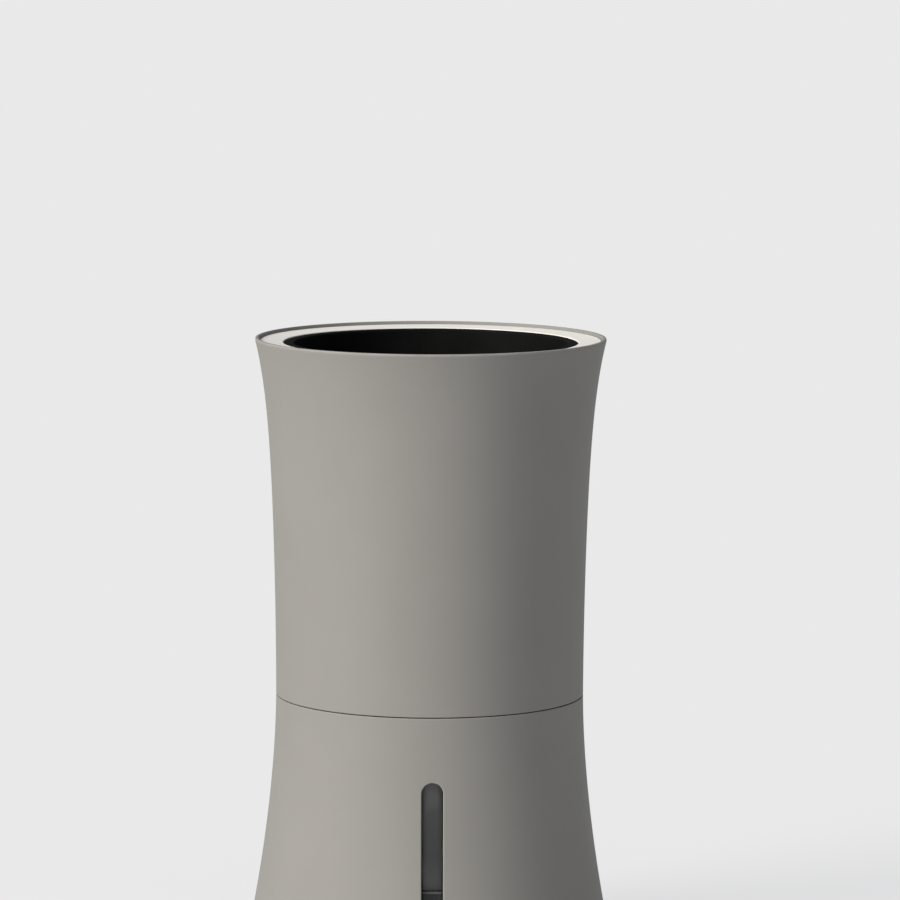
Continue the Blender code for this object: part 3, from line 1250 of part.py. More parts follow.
def make_bed():
    low = CUP_Z + CUP_FLOOR + FIT
    screen_top = low + SCREEN_THICKNESS
    disc = [(0.0, screen_top), (bed_edge(low), screen_top), (bed_edge(low), low), (0.0, low)]
    screen = turned("drain_screen_blank", disc, ring=False)
    places = [spot for count, radius in SCREEN_HOLE_RINGS for spot in ring_places(count, radius)]
    below, above = low - CUTTER_MARGIN, screen_top + CUTTER_MARGIN
    cut(screen, rods("screen_holes", SCREEN_HOLE_RADIUS, below, above, places, steps=PIN_STEPS))
    screen = place("drain_screen", mesh_of(screen), "moulded_dark")
    bed_z, level = screen_top + FIT, MEDIUM_TOP_Z - PEBBLE_STAND
    profile = [(0.0, level), (bed_edge(level), level), (bed_edge(bed_z), bed_z), (0.0, bed_z)]
    bed = turned("growing_medium_blank", profile, ring=False)
    fuse(bed, make_pebbles())
    bed.modifiers["pebbles"].use_self = True  # neighbouring pebbles may touch
    return [screen, place("growing_medium", mesh_of(bed), "pebble")]


def make_drip():
    radius = cup_radius(DRIP_Z) - CUP_WALL - DRIP_RING_INSET
    loop = [(x, y, DRIP_Z) for x, y in ring_places(TURN_STEPS, radius)]
    ring = pipe("drip_ring", loop, DRIP_TUBE_RADIUS, "inner_black", cyclic=True)
    start = radius + DRIP_TUBE_RADIUS + FIT
    end_x, end_z = riser_x(TUBE_END_Z), TUBE_END_Z + FIT
    bend = arc(end_x - ELBOW_BEND, DRIP_Z - ELBOW_BEND, ELBOW_BEND, 90, 0, 4)
    path = [(start, 0.0, DRIP_Z), *[(x, 0.0, z) for x, z in bend], (end_x, 0.0, end_z)]
    elbow = pipe("inlet_elbow_blank", path, ELBOW_RADIUS)
    pin_z = end_z - ELBOW_PIN_LENGTH
    fuse(elbow, rods("elbow_pin", SPIGOT_PIN_RADIUS, pin_z, end_z + FIT, [(end_x, 0.0)]))
    return [ring, place("inlet_elbow", mesh_of(elbow), "inner_black")]


def hang(pieces, name, matrix):
    """Parents pieces to an empty on their joint's axis, leaving them where they are."""
    empty = bpy.data.objects.new(name, None)
    PARTS.objects.link(empty)
    empty.matrix_world = matrix
    bpy.context.view_layer.update()
    for piece in pieces:
        piece.parent = empty
        piece.matrix_parent_inverse = matrix.inverted()


def settle():
    """Turns every part into its final mesh, shaded smooth with sharp edges, and removes the cutters."""
    for obj in [o for o in PARTS.objects if o.type == "MESH"]:
        mesh = mesh_of(obj)
        obj.modifiers.clear()
        obj.data = mesh
        mesh.name = obj.name
        mesh.shade_smooth()
        mesh.set_sharp_from_angle(angle=SMOOTH_ANGLE)
    for obj in list(CUTTERS.objects):
        bpy.data.objects.remove(obj)


def main():
    make_tank_shell()
    make_base()
    make_window()
    make_float_and_guide()
    make_seam_gasket()
    make_pot_shell()
    make_deck()
    make_cover()
    make_pump()
    make_hanger()
    make_tube()
    make_lead()
    make_board()
    make_panel()
    make_power_inlet()
    make_button()
    inner = [make_cup(), make_collar(), *make_bed(), *make_drip()]
    hang(inner, "inner_pot_axis", Matrix.Identity(4))
    settle()


main()
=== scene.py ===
import json
import math
import random

import bpy
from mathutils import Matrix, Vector


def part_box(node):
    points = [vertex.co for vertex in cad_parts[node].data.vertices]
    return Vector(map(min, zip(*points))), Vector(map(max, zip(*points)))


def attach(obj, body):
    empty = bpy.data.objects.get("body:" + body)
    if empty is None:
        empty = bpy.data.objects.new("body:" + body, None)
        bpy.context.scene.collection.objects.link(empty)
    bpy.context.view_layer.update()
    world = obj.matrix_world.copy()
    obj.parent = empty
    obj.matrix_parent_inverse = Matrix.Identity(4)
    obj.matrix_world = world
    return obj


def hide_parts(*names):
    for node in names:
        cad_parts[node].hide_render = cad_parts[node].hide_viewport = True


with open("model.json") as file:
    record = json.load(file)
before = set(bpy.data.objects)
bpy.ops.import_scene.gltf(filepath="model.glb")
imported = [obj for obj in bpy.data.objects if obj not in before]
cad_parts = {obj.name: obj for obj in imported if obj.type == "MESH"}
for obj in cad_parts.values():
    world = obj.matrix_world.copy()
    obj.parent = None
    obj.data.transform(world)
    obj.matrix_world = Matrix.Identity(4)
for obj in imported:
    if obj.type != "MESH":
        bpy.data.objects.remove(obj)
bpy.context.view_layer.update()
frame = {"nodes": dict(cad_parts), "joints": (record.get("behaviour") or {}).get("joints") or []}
nodes = frame["nodes"]
mm = 0.001
fit = 0.3  # mm left between pieces that fit together
print("frame loaded:", len(nodes), "nodes")

# camera, light and floor

photoCamera = {
    "lens": 204.14,
    "sensor": 36.0,
    "pitch": 6.805,  # degrees down
    "turn": -1.1,  # degrees round to the left
    "roll": 0.2,
    "distance": 1.9069,  # from the planter's axis, along the floor
    "height": 0.4199,
    "shift": 0.0217,
    "reach": 200.0,
}
studio = {
    "lamps": (  # name, degrees round from the camera, degrees up, spread, power, colour
        ("keyLight", -57.0, 27.0, 26.0, 4.4, (1.0, 0.955, 0.87)),
        ("topLight", -20.0, 72.0, 60.0, 0.95, (1.0, 0.98, 0.95)),
    ),
    "lampFar": 3.0,
    "skyColour": (0.96, 1.0, 1.06),
    "skyPower": 0.24,
    "floorSize": 120.0,
    "floorColour": (0.12, 0.12, 0.12),
    "floorGlow": (0.679, 0.68, 0.688),
}


def setCamera(place):
    turn = math.radians(place["turn"])
    spot = (math.sin(turn) * place["distance"], -math.cos(turn) * place["distance"], place["height"])
    bpy.ops.object.camera_add(location=spot, rotation=(math.radians(90 - place["pitch"]), 0, turn))
    camera = bpy.context.object
    camera.rotation_euler.rotate_axis("Z", math.radians(place["roll"]))
    camera.data.lens = place["lens"]
    camera.data.sensor_width = place["sensor"]
    camera.data.shift_x = place["shift"]
    camera.data.clip_end = place["reach"]
    bpy.context.scene.camera = camera


def setLight(light):
    for name, around, up, soft, power, colour in light["lamps"]:
        turn, rise = math.radians(around), math.radians(up)
        toward = Vector((math.sin(turn) * math.cos(rise), -math.cos(turn) * math.cos(rise), math.sin(rise)))
        aim = toward.to_track_quat("Z", "Y").to_euler()
        bpy.ops.object.light_add(type="SUN", location=toward * light["lampFar"], rotation=aim)
        lamp = bpy.context.object
        lamp.name = name
        lamp.data.energy, lamp.data.angle, lamp.data.color = power, math.radians(soft), colour
    world = bpy.context.scene.world or bpy.data.worlds.new("studioSky")
    bpy.context.scene.world = world
    world.use_nodes = True
    sky = world.node_tree.nodes["Background"].inputs
    sky["Color"].default_value = (*light["skyColour"], 1.0)
    sky["Strength"].default_value = light["skyPower"]
    bpy.context.scene.view_settings.view_transform = "Standard"


def setFloor(light):
    bpy.ops.mesh.primitive_plane_add(size=light["floorSize"])
    floor = bpy.context.object
    floor.name = "studioFloor"
    pale = bpy.data.materials.new("paleFloor")
    pale.use_nodes = True
    look = {"Base Color": (*light["floorColour"], 1.0), "Roughness": 1.0, "Specular IOR Level": 0.0}
    look.update({"Emission Color": (*light["floorGlow"], 1.0), "Emission Strength": 1.0})
    for socket, value in look.items():
        pale.node_tree.nodes["Principled BSDF"].inputs[socket].default_value = value
    floor.data.materials.append(pale)


bpy.ops.object.select_all(action="DESELECT")
setCamera(photoCamera)
setLight(studio)
setFloor(studio)
print("camera, light and floor set")

# finishes


def addNode(tree, kind, inputs=None, **settings):
    # an input is a socket to link, or a plain value
    node = tree.nodes.new(kind)
    for key, value in settings.items():
        setattr(node, key, value)
    for key, value in (inputs or {}).items():
        if isinstance(value, bpy.types.NodeSocket):
            tree.links.new(value, node.inputs[key])
        else:
            node.inputs[key].default_value = value
    return node


def newGroup(name, inputs, outputs):
    group = bpy.data.node_groups.new(name, "ShaderNodeTree")
    for label, value in inputs.items():
        kind = "NodeSocketFloat" if isinstance(value, float) else "NodeSocketColor"
        group.interface.new_socket(name=label, in_out="INPUT", socket_type=kind).default_value = value
    for label in outputs:
        kind = "NodeSocketColor" if label == "Colour" else "NodeSocketFloat"
        group.interface.new_socket(name=label, in_out="OUTPUT", socket_type=kind)
    return group, addNode(group, "NodeGroupInput").outputs


def mixColour(tree, factor, first, second):
    # the second colour is a socket, or three plain numbers
    second = (*second, 1.0) if isinstance(second, tuple) else second
    return addNode(tree, "ShaderNodeMix", {0: factor, 6: first, 7: second}, data_type="RGBA").outputs[2]


def doMath(tree, operation, *values):
    return addNode(tree, "ShaderNodeMath", dict(enumerate(values)), operation=operation).outputs[0]


def product(tree, made, *others):
    for other in others:
        made = doMath(tree, "MULTIPLY", made, other)
    return made


def spread(tree, value, low, high):
    # stretches low..high to 0..1
    inputs = {"Value": value, "From Min": low, "From Max": high}
    return addNode(tree, "ShaderNodeMapRange", inputs).outputs["Result"]


def objectSpot(tree):
    return addNode(tree, "ShaderNodeTexCoord").outputs["Object"]


def axisOf(tree, vector, axis):
    return addNode(tree, "ShaderNodeSeparateXYZ", {0: vector}).outputs[axis]


def noiseOf(tree, scale, detail):
    inputs = {"Vector": objectSpot(tree), "Scale": scale, "Detail": detail, "Roughness": 0.55}
    return addNode(tree, "ShaderNodeTexNoise", inputs).outputs["Fac"]


grey = (0.5, 0.5, 0.5, 1.0)
effects = {  # ranges are stretched to 0..1, details are the noise's
    "toneRange": (0.35, 0.65), "toneDetail": 4.0, "grainDetail": 2.0, "grainDeep": 0.2 * mm,
    "edgeRange": (0.515, 0.6), "rubRange": (0.2, 0.6), "rubDetail": 3.0,
    "rubPale": (1.6, 0.03, 0.9),  # gain, lift and limit of the pale edges, partly wear and partly painted highlight
    "upRange": (0.55, 1.0), "dustRange": (0.4, 0.75), "dustScale": 170.0, "dustDetail": 5.0,
    "dustColour": (0.42, 0.40, 0.37, 1.0), "dustDull": 0.3,
}


def buildSkin():
    # moulded skin: slow drift of tone and gloss, with a fine grain for the bump
    asked = {"Colour": grey, "Shade": grey, "Patch Scale": 40.0, "Grain Scale": 2500.0}
    asked.update({"Roughness": 0.5, "Gloss Drift": 0.1})
    group, taken = newGroup("mouldedSkin", asked, ("Colour", "Roughness", "Height"))
    patch = noiseOf(group, taken["Patch Scale"], effects["toneDetail"])
    drift = spread(group, patch, *effects["toneRange"])
    tone = mixColour(group, drift, taken["Colour"], taken["Shade"])
    change = doMath(group, "SUBTRACT", patch, 0.5)
    rough = doMath(group, "MULTIPLY_ADD", change, taken["Gloss Drift"], taken["Roughness"])
    grain = noiseOf(group, taken["Grain Scale"], effects["grainDetail"])
    addNode(group, "NodeGroupOutput", {"Colour": tone, "Roughness": rough, "Height": grain})
    return group


def buildEdgeWearHighlight():
    # convex edges made paler, partly wear that hands and cloths leave, partly a painted highlight along the
    # lip and the edges
    asked = {"Colour": grey, "Wear Highlight Colour": grey, "Amount": 0.3, "Patch Scale": 120.0}
    group, taken = newGroup("edgeWearAndHighlight", asked, ("Colour",))
    sharp = addNode(group, "ShaderNodeNewGeometry").outputs["Pointiness"]
    corner = spread(group, sharp, *effects["edgeRange"])
    noise = noiseOf(group, taken["Patch Scale"], effects["rubDetail"])
    patch = spread(group, noise, *effects["rubRange"])
    mask = product(group, corner, patch, taken["Amount"])
    tone = mixColour(group, mask, taken["Colour"], taken["Wear Highlight Colour"])
    addNode(group, "NodeGroupOutput", {"Colour": tone})
    return group


def buildDust():
    # dust that settles on what faces up
    asked = {"Colour": grey, "Roughness": 0.5, "Dust Colour": grey, "Amount": 0.2}
    group, taken = newGroup("settledDust", asked, ("Colour", "Roughness"))
    normal = addNode(group, "ShaderNodeNewGeometry").outputs["Normal"]
    upward = spread(group, axisOf(group, normal, "Z"), *effects["upRange"])
    noise = noiseOf(group, effects["dustScale"], effects["dustDetail"])
    patch = spread(group, noise, *effects["dustRange"])
    mask = product(group, upward, patch, taken["Amount"])
    tone = mixColour(group, mask, taken["Colour"], taken["Dust Colour"])
    rough = doMath(group, "MULTIPLY_ADD", mask, effects["dustDull"], taken["Roughness"])
    addNode(group, "NodeGroupOutput", {"Colour": tone, "Roughness": rough})
    return group


skinGroup, edgeWearHighlightGroup, dustGroup = buildSkin(), buildEdgeWearHighlight(), buildDust()


def makeFinish(name, look):
    _, colour, shade, patch, grain, rough, drift, bump, more = look
    finish = bpy.data.materials.new(name)
    finish.use_nodes = True
    tree = finish.node_tree
    shader = tree.nodes["Principled BSDF"].inputs
    asked = {"Colour": (*colour, 1.0), "Shade": (*[value * shade for value in colour], 1.0)}
    asked.update({"Patch Scale": patch, "Grain Scale": grain, "Roughness": rough, "Gloss Drift": drift})
    skin = addNode(tree, "ShaderNodeGroup", asked, node_tree=skinGroup).outputs
    tone, gloss = skin["Colour"], skin["Roughness"]
    if "pattern" in more:
        tone = more["pattern"](tree, tone, more)
    # paler convex edges: partly wear, partly a painted highlight
    if "rub" in more:
        gain, lift, limit = effects["rubPale"]
        pale = (*[min(limit, value * gain + lift) for value in colour], 1.0)
        asked = {"Colour": tone, "Wear Highlight Colour": pale, "Amount": more["rub"]}
        tone = addNode(tree, "ShaderNodeGroup", asked, node_tree=edgeWearHighlightGroup).outputs["Colour"]
    if "dust" in more:
        asked = {"Colour": tone, "Roughness": gloss, "Amount": more["dust"]}
        asked["Dust Colour"] = effects["dustColour"]
        dusty = addNode(tree, "ShaderNodeGroup", asked, node_tree=dustGroup).outputs
        tone, gloss = dusty["Colour"], dusty["Roughness"]
    asked = {"Strength": bump, "Distance": effects["grainDeep"], "Height": skin["Height"]}
    bumpy = addNode(tree, "ShaderNodeBump", asked).outputs["Normal"]
    for socket, source in (("Base Color", tone), ("Roughness", gloss), ("Normal", bumpy)):
        tree.links.new(source, shader[socket])
    for socket, value in more.get("shader", {}).items():
        shader[socket].default_value = value
    return finish


def bandsAlong(tree, tone, more):
    # thin bands along Z, for windings and turned metal
    inputs = {"Vector": objectSpot(tree), "Scale": more["bands"], "Distortion": 0.6}
    wave = addNode(tree, "ShaderNodeTexWave", inputs, bands_direction="Z").outputs["Fac"]
    return mixColour(tree, wave, tone, more["bandColour"])


def copperTracks(tree, tone, more):
    # the board's tracks, a little paler than its lacquer
    inputs = {"Vector": objectSpot(tree), "Scale": 90.0, "Mortar Size": 0.07, "Mortar Smooth": 0.0}
    tracks = addNode(tree, "ShaderNodeTexBrick", inputs).outputs["Fac"]
    return mixColour(tree, tracks, tone, more["bandColour"])


def limeFilmAndBounceLight(tree, tone, more):
    # pale film that the water leaves, thickest where the float rests; partly lime, partly painted light
    # thrown up off the water surface
    fade = spread(tree, axisOf(tree, objectSpot(tree), "Z"), more["filmHigh"], more["filmLow"])
    patch = spread(tree, noiseOf(tree, *more["filmNoise"]), *more["filmRange"])
    return mixColour(tree, product(tree, fade, patch), tone, more["filmColour"])


def levelLine(tree, tone, more):
    # pale line across the float, just under its top
    inputs = {0: objectSpot(tree), 1: more["along"]}
    lift = addNode(tree, "ShaderNodeVectorMath", inputs, operation="DOT_PRODUCT").outputs["Value"]
    off = doMath(tree, "ABSOLUTE", doMath(tree, "SUBTRACT", lift, more["lineAt"]))
    return mixColour(tree, doMath(tree, "LESS_THAN", off, more["lineWidth"] / 2), tone, more["lineColour"])


def paintedSideShade(tree, tone, more):
    # painted shade: the tint darkens toward both sides of the window, where the slot's walls shade it
    off = doMath(tree, "ABSOLUTE", axisOf(tree, objectSpot(tree), "X"))
    deep = doMath(tree, "POWER", spread(tree, off, more["shadeFrom"], more["shadeTo"]), more["shadePower"])
    return mixColour(tree, deep, tone, more["sideColour"])


floatAxis = Vector(next(j["axis"] for j in frame["joints"] if j["name"] == "float_rise"))
floatLow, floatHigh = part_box("level_float")
floatMiddle = (floatLow + floatHigh) / 2
floatSize = (9.0, 7.0, 14.0)  # mm, across, deep, tall
lineDown = 0.75  # mm, from the float's top to the middle of its line
limeAndBounceTall = 11.0  # mm of lime and painted bounce light above the float's top

looks = {  # slot, colour, shade, patch, grain, roughness, drift, bump, and what else it has
    "shellGrey": (
        "shell_grey", (0.217, 0.213, 0.204), 0.965, 26.0, 2600.0, 0.64, 0.10, 0.10,
        # its strong pale edges are mostly a painted highlight along the lip
        {"rub": 0.8, "shader": {"Specular IOR Level": 0.15}},
    ),
    "collarPale": ("collar_grey", (0.73, 0.725, 0.71), 0.96, 45.0, 2200.0, 0.46, 0.12, 0.10, {"dust": 0.10}),
    "cupBlack": (
        "inner_black", (0.006, 0.006, 0.0063), 0.7, 60.0, 1900.0, 0.72, 0.15, 0.16,
        {"rub": 0.25, "shader": {"Specular IOR Level": 0.03}},
    ),
    "panelBlack": (
        "inner_black", (0.020, 0.020, 0.021), 0.8, 80.0, 2100.0, 0.42, 0.15, 0.12,
        {"rub": 0.35, "dust": 0.06},
    ),
    "mouldedDark": (
        "moulded_dark", (0.030, 0.030, 0.032), 0.8, 55.0, 1700.0, 0.45, 0.18, 0.14,
        {"rub": 0.3, "dust": 0.08},
    ),
    "smokedClear": (
        "smoked_clear", (0.80, 0.81, 0.80), 0.94, 60.0, 900.0, 0.04, 0.03, 0.01,
        {
            # painted shade toward the window's sides
            "pattern": paintedSideShade, "shadeFrom": 1.0 * mm, "shadeTo": 4.2 * mm,
            "shadePower": 2.0, "sideColour": (0.02, 0.02, 0.02),
            "shader": {"Transmission Weight": 1.0, "IOR": 1.45, "Specular IOR Level": 0.1},
        },
    ),
    "guideGrey": (
        None, (0.50, 0.505, 0.50), 0.94, 70.0, 1700.0, 0.5, 0.12, 0.10,
        {
            # lime film and painted bounce light just over the float
            "rub": 0.2, "pattern": limeFilmAndBounceLight, "filmColour": (0.78, 0.78, 0.76),
            "filmLow": floatHigh.z, "filmHigh": floatHigh.z + limeAndBounceTall * mm,
            "filmNoise": (260.0, 4.0), "filmRange": (0.0, 0.7),
        },
    ),
    "rubberBlack": (
        "rubber_black", (0.015, 0.015, 0.0155), 0.75, 90.0, 1300.0, 0.82, 0.12, 0.25,
        {"rub": 0.2, "dust": 0.12},
    ),
    "siliconeMilky": (
        "silicone", (0.62, 0.63, 0.61), 0.92, 70.0, 600.0, 0.35, 0.15, 0.05,
        {"shader": {"Transmission Weight": 0.25, "IOR": 1.41}},
    ),
    "steelBright": (
        "steel", (0.56, 0.56, 0.57), 0.8, 300.0, 3500.0, 0.28, 0.25, 0.08,
        {
            "rub": 0.2, "pattern": bandsAlong, "bands": 420.0, "bandColour": (0.46, 0.46, 0.47),
            "shader": {"Metallic": 1.0},
        },
    ),
    "whitePlastic": ("white_plastic", (0.70, 0.70, 0.68), 0.94, 80.0, 1500.0, 0.34, 0.12, 0.06, {}),
    "boardGreen": (
        None, (0.016, 0.10, 0.042), 0.8, 120.0, 2500.0, 0.38, 0.15, 0.10,
        {"pattern": copperTracks, "bandColour": (0.03, 0.17, 0.07)},
    ),
    "chipBlack": (None, (0.020, 0.020, 0.022), 0.8, 200.0, 3000.0, 0.5, 0.15, 0.2, {"rub": 0.2}),
    "magnetDark": (
        None, (0.06, 0.06, 0.065), 0.75, 180.0, 2200.0, 0.42, 0.2, 0.2,
        {"rub": 0.4, "shader": {"Metallic": 0.6}},
    ),
    "windingCopper": (
        None, (0.30, 0.11, 0.035), 0.8, 140.0, 1200.0, 0.4, 0.2, 0.15,
        {"pattern": bandsAlong, "bands": 330.0, "bandColour": (0.12, 0.04, 0.015)},
    ),
    "clayPebble": (
        "pebble", (0.036, 0.027, 0.021), 0.45, 150.0, 900.0, 0.92, 0.1, 0.9, {"rub": 0.25, "dust": 0.06},
    ),
    "floatDark": (
        "float_dark", (0.085, 0.085, 0.086), 0.8, 90.0, 1800.0, 0.6, 0.1, 0.08,
        {
            "pattern": levelLine, "along": tuple(floatAxis), "lineWidth": 0.8 * mm,
            "lineAt": floatMiddle.dot(floatAxis) + (floatSize[2] / 2 - lineDown) * mm,
            "lineColour": (0.35, 0.355, 0.35), "shader": {"Specular IOR Level": 0.2},
        },
    ),
}
finishes = {name: makeFinish(name, look) for name, look in looks.items()}
print("finishes made:", len(finishes))

# ways of modelling

past = 2.0  # mm that a cutter runs past what it cuts
fullTurn = 2 * math.pi


def toMode(mode):
    bpy.ops.object.mode_set(mode=mode)


def clearPicks():
    if bpy.context.object and bpy.context.object.mode != "OBJECT":
        toMode("OBJECT")
    bpy.ops.object.select_all(action="DESELECT")


def pickOnly(piece, *others):
    clearPicks()
    for each in (piece, *others):
        each.select_set(True)
    bpy.context.view_layer.objects.active = piece


def pickAll(piece):
    pickOnly(piece)
    toMode("EDIT")
    bpy.ops.mesh.select_mode(type="VERT")
    bpy.ops.mesh.select_all(action="SELECT")


def pickParts(piece, kind, wanted):
    # leaves the piece in edit mode with the wanted faces or edges picked
    pickOnly(piece)
    toMode("EDIT")
    bpy.ops.mesh.select_mode(type=kind)
    bpy.ops.mesh.select_all(action="DESELECT")
    toMode("OBJECT")
    for part in piece.data.polygons if kind == "FACE" else piece.data.edges:
        if wanted(part):
            part.select = True
    toMode("EDIT")


def cleanUp(piece, gap=1e-6):
    # merges doubles, turns the faces outward and leaves edit mode
    pickAll(piece)
    bpy.ops.mesh.remove_doubles(threshold=gap)
    bpy.ops.mesh.normals_make_consistent(inside=False)
    toMode("OBJECT")
    return piece


def named(name):
    piece = bpy.context.object
    piece.name = piece.data.name = name
    return piece


def settle(piece):
    # writes the piece's place, turn and scale into its mesh
    pickOnly(piece)
    bpy.ops.object.transform_apply(location=True, rotation=True, scale=True)
    return piece


def applyModifier(piece, kind, **settings):
    pickOnly(piece)
    change = piece.modifiers.new(kind.lower(), kind)
    for key, value in settings.items():
        setattr(change, key, value)
    bpy.ops.object.modifier_apply(modifier=change.name)


def drop(*pieces):
    for piece in pieces:
        bpy.data.objects.remove(piece)


def combine(piece, operation, *others):
    for other in others:
        applyModifier(piece, "BOOLEAN", operation=operation, object=other)
        drop(other)
    return piece


def cut(piece, *others):
    return combine(piece, "DIFFERENCE", *others)


def fuse(piece, *others):
    return combine(piece, "UNION", *others)


def joinAll(name, pieces):
    pickOnly(*pieces)
    bpy.ops.object.join()
    return named(name)


def pushOut(x, y, z):
    bpy.ops.mesh.extrude_region_move(TRANSFORM_OT_translate={"value": (x * mm, y * mm, z * mm)})


def levels(low, high, count):
    return [low + (high - low) * i / count for i in range(count + 1)]


def ease(low, high, share):
    t = min(1.0, max(0.0, share))
    return low + (high - low) * t * t * (3 - 2 * t)


def follow(radiusAt, heights):
    return [(radiusAt(z), z) for z in heights]


def soften(corners, steps=3):
    # an outline whose corners have a third number, the rounding in mm, gets them rounded
    made, most = [], 0.48  # of the stretch to the next corner
    for i, corner in enumerate(corners):
        spot = Vector(corner[:2])
        if len(corner) < 3:
            made.append(tuple(spot))
            continue
        back = Vector(corners[i - 1][:2]) - spot
        on = Vector(corners[(i + 1) % len(corners)][:2]) - spot
        reach = corner[2] / math.tan(back.angle(on) / 2)
        start = spot + back.normalized() * min(reach, back.length * most)
        end = spot + on.normalized() * min(reach, on.length * most)
        for t in levels(0.0, 1.0, steps):
            made.append(tuple(start * (1 - t) ** 2 + spot * 2 * t * (1 - t) + end * t * t))
    return made


def loopThrough(name, spots):
    clearPicks()
    bpy.ops.mesh.primitive_circle_add(vertices=len(spots), radius=1.0)
    piece = named(name)
    for corner, spot in zip(piece.data.vertices, spots):
        corner.co = spot
    return piece


def turnOutline(name, corners, steps, centre=(0.0, 0.0), upright=True, rounding=3):
    # spins (radius, height) corners about Z, or about Y where upright is off
    def place(radius, height):
        x, other = centre[0] + radius, centre[1]
        return (x, other, height) if upright else (x, height, other)

    outline = soften(corners, rounding)
    piece = loopThrough(name, [Vector(place(*point)) * mm for point in outline])
    onAxis = {i for i, point in enumerate(outline) if point[0] < 1e-6}
    if onAxis:
        pickParts(piece, "EDGE", lambda edge: onAxis.issuperset(edge.vertices))
        bpy.ops.mesh.delete(type="EDGE")
    pickAll(piece)
    hub = [value * mm for value in place(0.0, 0.0)]
    axis = (0.0, 0.0, 1.0) if upright else (0.0, 1.0, 0.0)
    bpy.ops.mesh.spin(steps=steps, angle=fullTurn, center=hub, axis=axis)
    return cleanUp(piece, 1e-7)


def turnRod(name, radius, low, high, centre=(0.0, 0.0), edge=0.0, steps=32, upright=True):
    corners = [(0.0, low), (radius, low, edge), (radius, high, edge), (0.0, high)]
    corners = corners if edge else [corner[:2] for corner in corners]
    return turnOutline(name, corners, steps, centre, upright)


def rodAlongX(name, radius, half, spot):
    rod = turnRod(name, radius, -half, half)
    rod.rotation_euler.y = math.radians(90)
    rod.location = Vector(spot) * mm
    return settle(rod)


def makeBlock(name, low, high, edge=0.0):
    clearPicks()
    low, high = Vector(low) * mm, Vector(high) * mm
    bpy.ops.mesh.primitive_cube_add(size=1.0, location=(low + high) / 2, scale=high - low)
    piece = settle(named(name))
    if edge:
        applyModifier(piece, "BEVEL", width=edge * mm, segments=3)
    return piece


def twin(piece):
    made = piece.copy()
    made.data = piece.data.copy()
    bpy.context.scene.collection.objects.link(made)
    return made


def copyPiece(piece, name, move=(0.0, 0.0, 0.0), turn=0.0):
    made = twin(piece)
    made.name = made.data.name = name
    made.location = Vector(move) * mm
    made.rotation_euler.z = turn
    return settle(made)


def polar(radius, turn):
    return radius * math.cos(turn), radius * math.sin(turn)


def ringSpots(count, radius, first=0.0):
    return [polar(radius, math.radians(first + 360 * i / count)) for i in range(count)]


def rodsAt(name, radius, low, high, spots, steps=24):
    return joinAll(name, [turnRod(name, radius, low, high, spot, steps=steps) for spot in spots])


def runPipe(name, path, radius, wall=0.0):
    # a round bar along a path in mm, or a hose where a wall is given
    clearPicks()
    line = bpy.data.curves.new(name, "CURVE")
    line.dimensions = "3D"
    line.bevel_depth = radius * mm
    line.bevel_resolution = 7
    line.use_fill_caps = not wall
    spline = line.splines.new("POLY")
    spline.points.add(len(path) - 1)
    for point, spot in zip(spline.points, path):
        point.co = (*(Vector(spot) * mm), 1.0)
    piece = bpy.data.objects.new(name, line)
    bpy.context.scene.collection.objects.link(piece)
    pickOnly(piece)
    bpy.ops.object.convert(target="MESH")
    piece = cleanUp(bpy.context.object)
    if wall:
        applyModifier(piece, "SOLIDIFY", thickness=wall * mm, offset=-1.0)
    return piece


def dress(piece, finish):
    piece.data.materials.clear()
    piece.data.materials.append(finishes[finish])


def finishPiece(piece, finish, body, *stands, smooth=35.0):
    cleanUp(piece)
    bpy.ops.object.shade_smooth_by_angle(angle=math.radians(smooth))
    applyModifier(piece, "WEIGHTED_NORMAL", keep_sharp=True)
    dress(piece, finish)
    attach(piece, body)
    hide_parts(*stands)


# the two casings

casing = {  # mm
    "seamZ": 100.0, "lipZ": 235.0, "footZ": 2.0, "waist": 58.05, "wall": 2.6, "lipWall": 1.4,
    "potFlare": 4.45, "potPower": 1.9, "lipFlare": 3.65, "lipPower": 7.0,
    "tankFlare": 11.8, "tankPower": 1.75, "baseRound": 1.2,
    "seamGap": 1.0, "seamRound": 0.35, "seamSlope": 0.6,
    "seamLip": 0.32,  # how far each outer edge closes the gap
    "lipRound": (1.15, 0.2),  # outside and inside
    "ledgeLow": 130.6, "ledgeTop": 135.6, "ledgeWidth": 15.7,
    "steps": 256, "rows": 64,
    "seamClear": 1.5, "lipClear": (2.8, 1.8), "footClear": 2.6, "ledgeClear": 2.0,  # kept free of rows
    "cornerClear": 1.0,
}
seamZ, lipZ, footZ, waist = (casing[key] for key in ("seamZ", "lipZ", "footZ", "waist"))
tankTop, potLow = seamZ - casing["seamGap"] / 2, seamZ + casing["seamGap"] / 2


def potRise(z):
    return max(0.0, (z - seamZ) / (lipZ - seamZ))


def potRadius(z):
    lip = casing["lipFlare"] * potRise(z) ** casing["lipPower"]
    return waist + casing["potFlare"] * potRise(z) ** casing["potPower"] + lip


def tankRadius(z):
    fall = max(0.0, (seamZ - z) / (seamZ - footZ))
    return waist + casing["tankFlare"] * fall ** casing["tankPower"]


def potInner(z):
    # the wall thins towards the lip
    thin = (casing["wall"] - casing["lipWall"]) * potRise(z) ** casing["lipPower"]
    return potRadius(z) - casing["wall"] + thin


def tankInner(z):
    return tankRadius(z) - casing["wall"]


ledgeInner = potInner(casing["ledgeLow"]) - casing["ledgeWidth"]
levelSlot = {"side": -1, "middle": 49.0, "width": 8.0, "height": 54.0, "round": 0.4, "reach": 2.4}
panelSlot = {"side": 1, "middle": 113.8, "width": 36.0, "height": 11.0, "round": 0.3, "reach": 2.4}
slotMargin = 3.0  # mm round the patch that is taken out


def openEdges(mesh):
    uses = {edge.key: 0 for edge in mesh.edges}
    for face in mesh.polygons:
        for key in face.edge_keys:
            uses[key] += 1
    return {key for key, count in uses.items() if count < 2}


def rounded(spot):
    return tuple(round(value, 6) for value in spot)


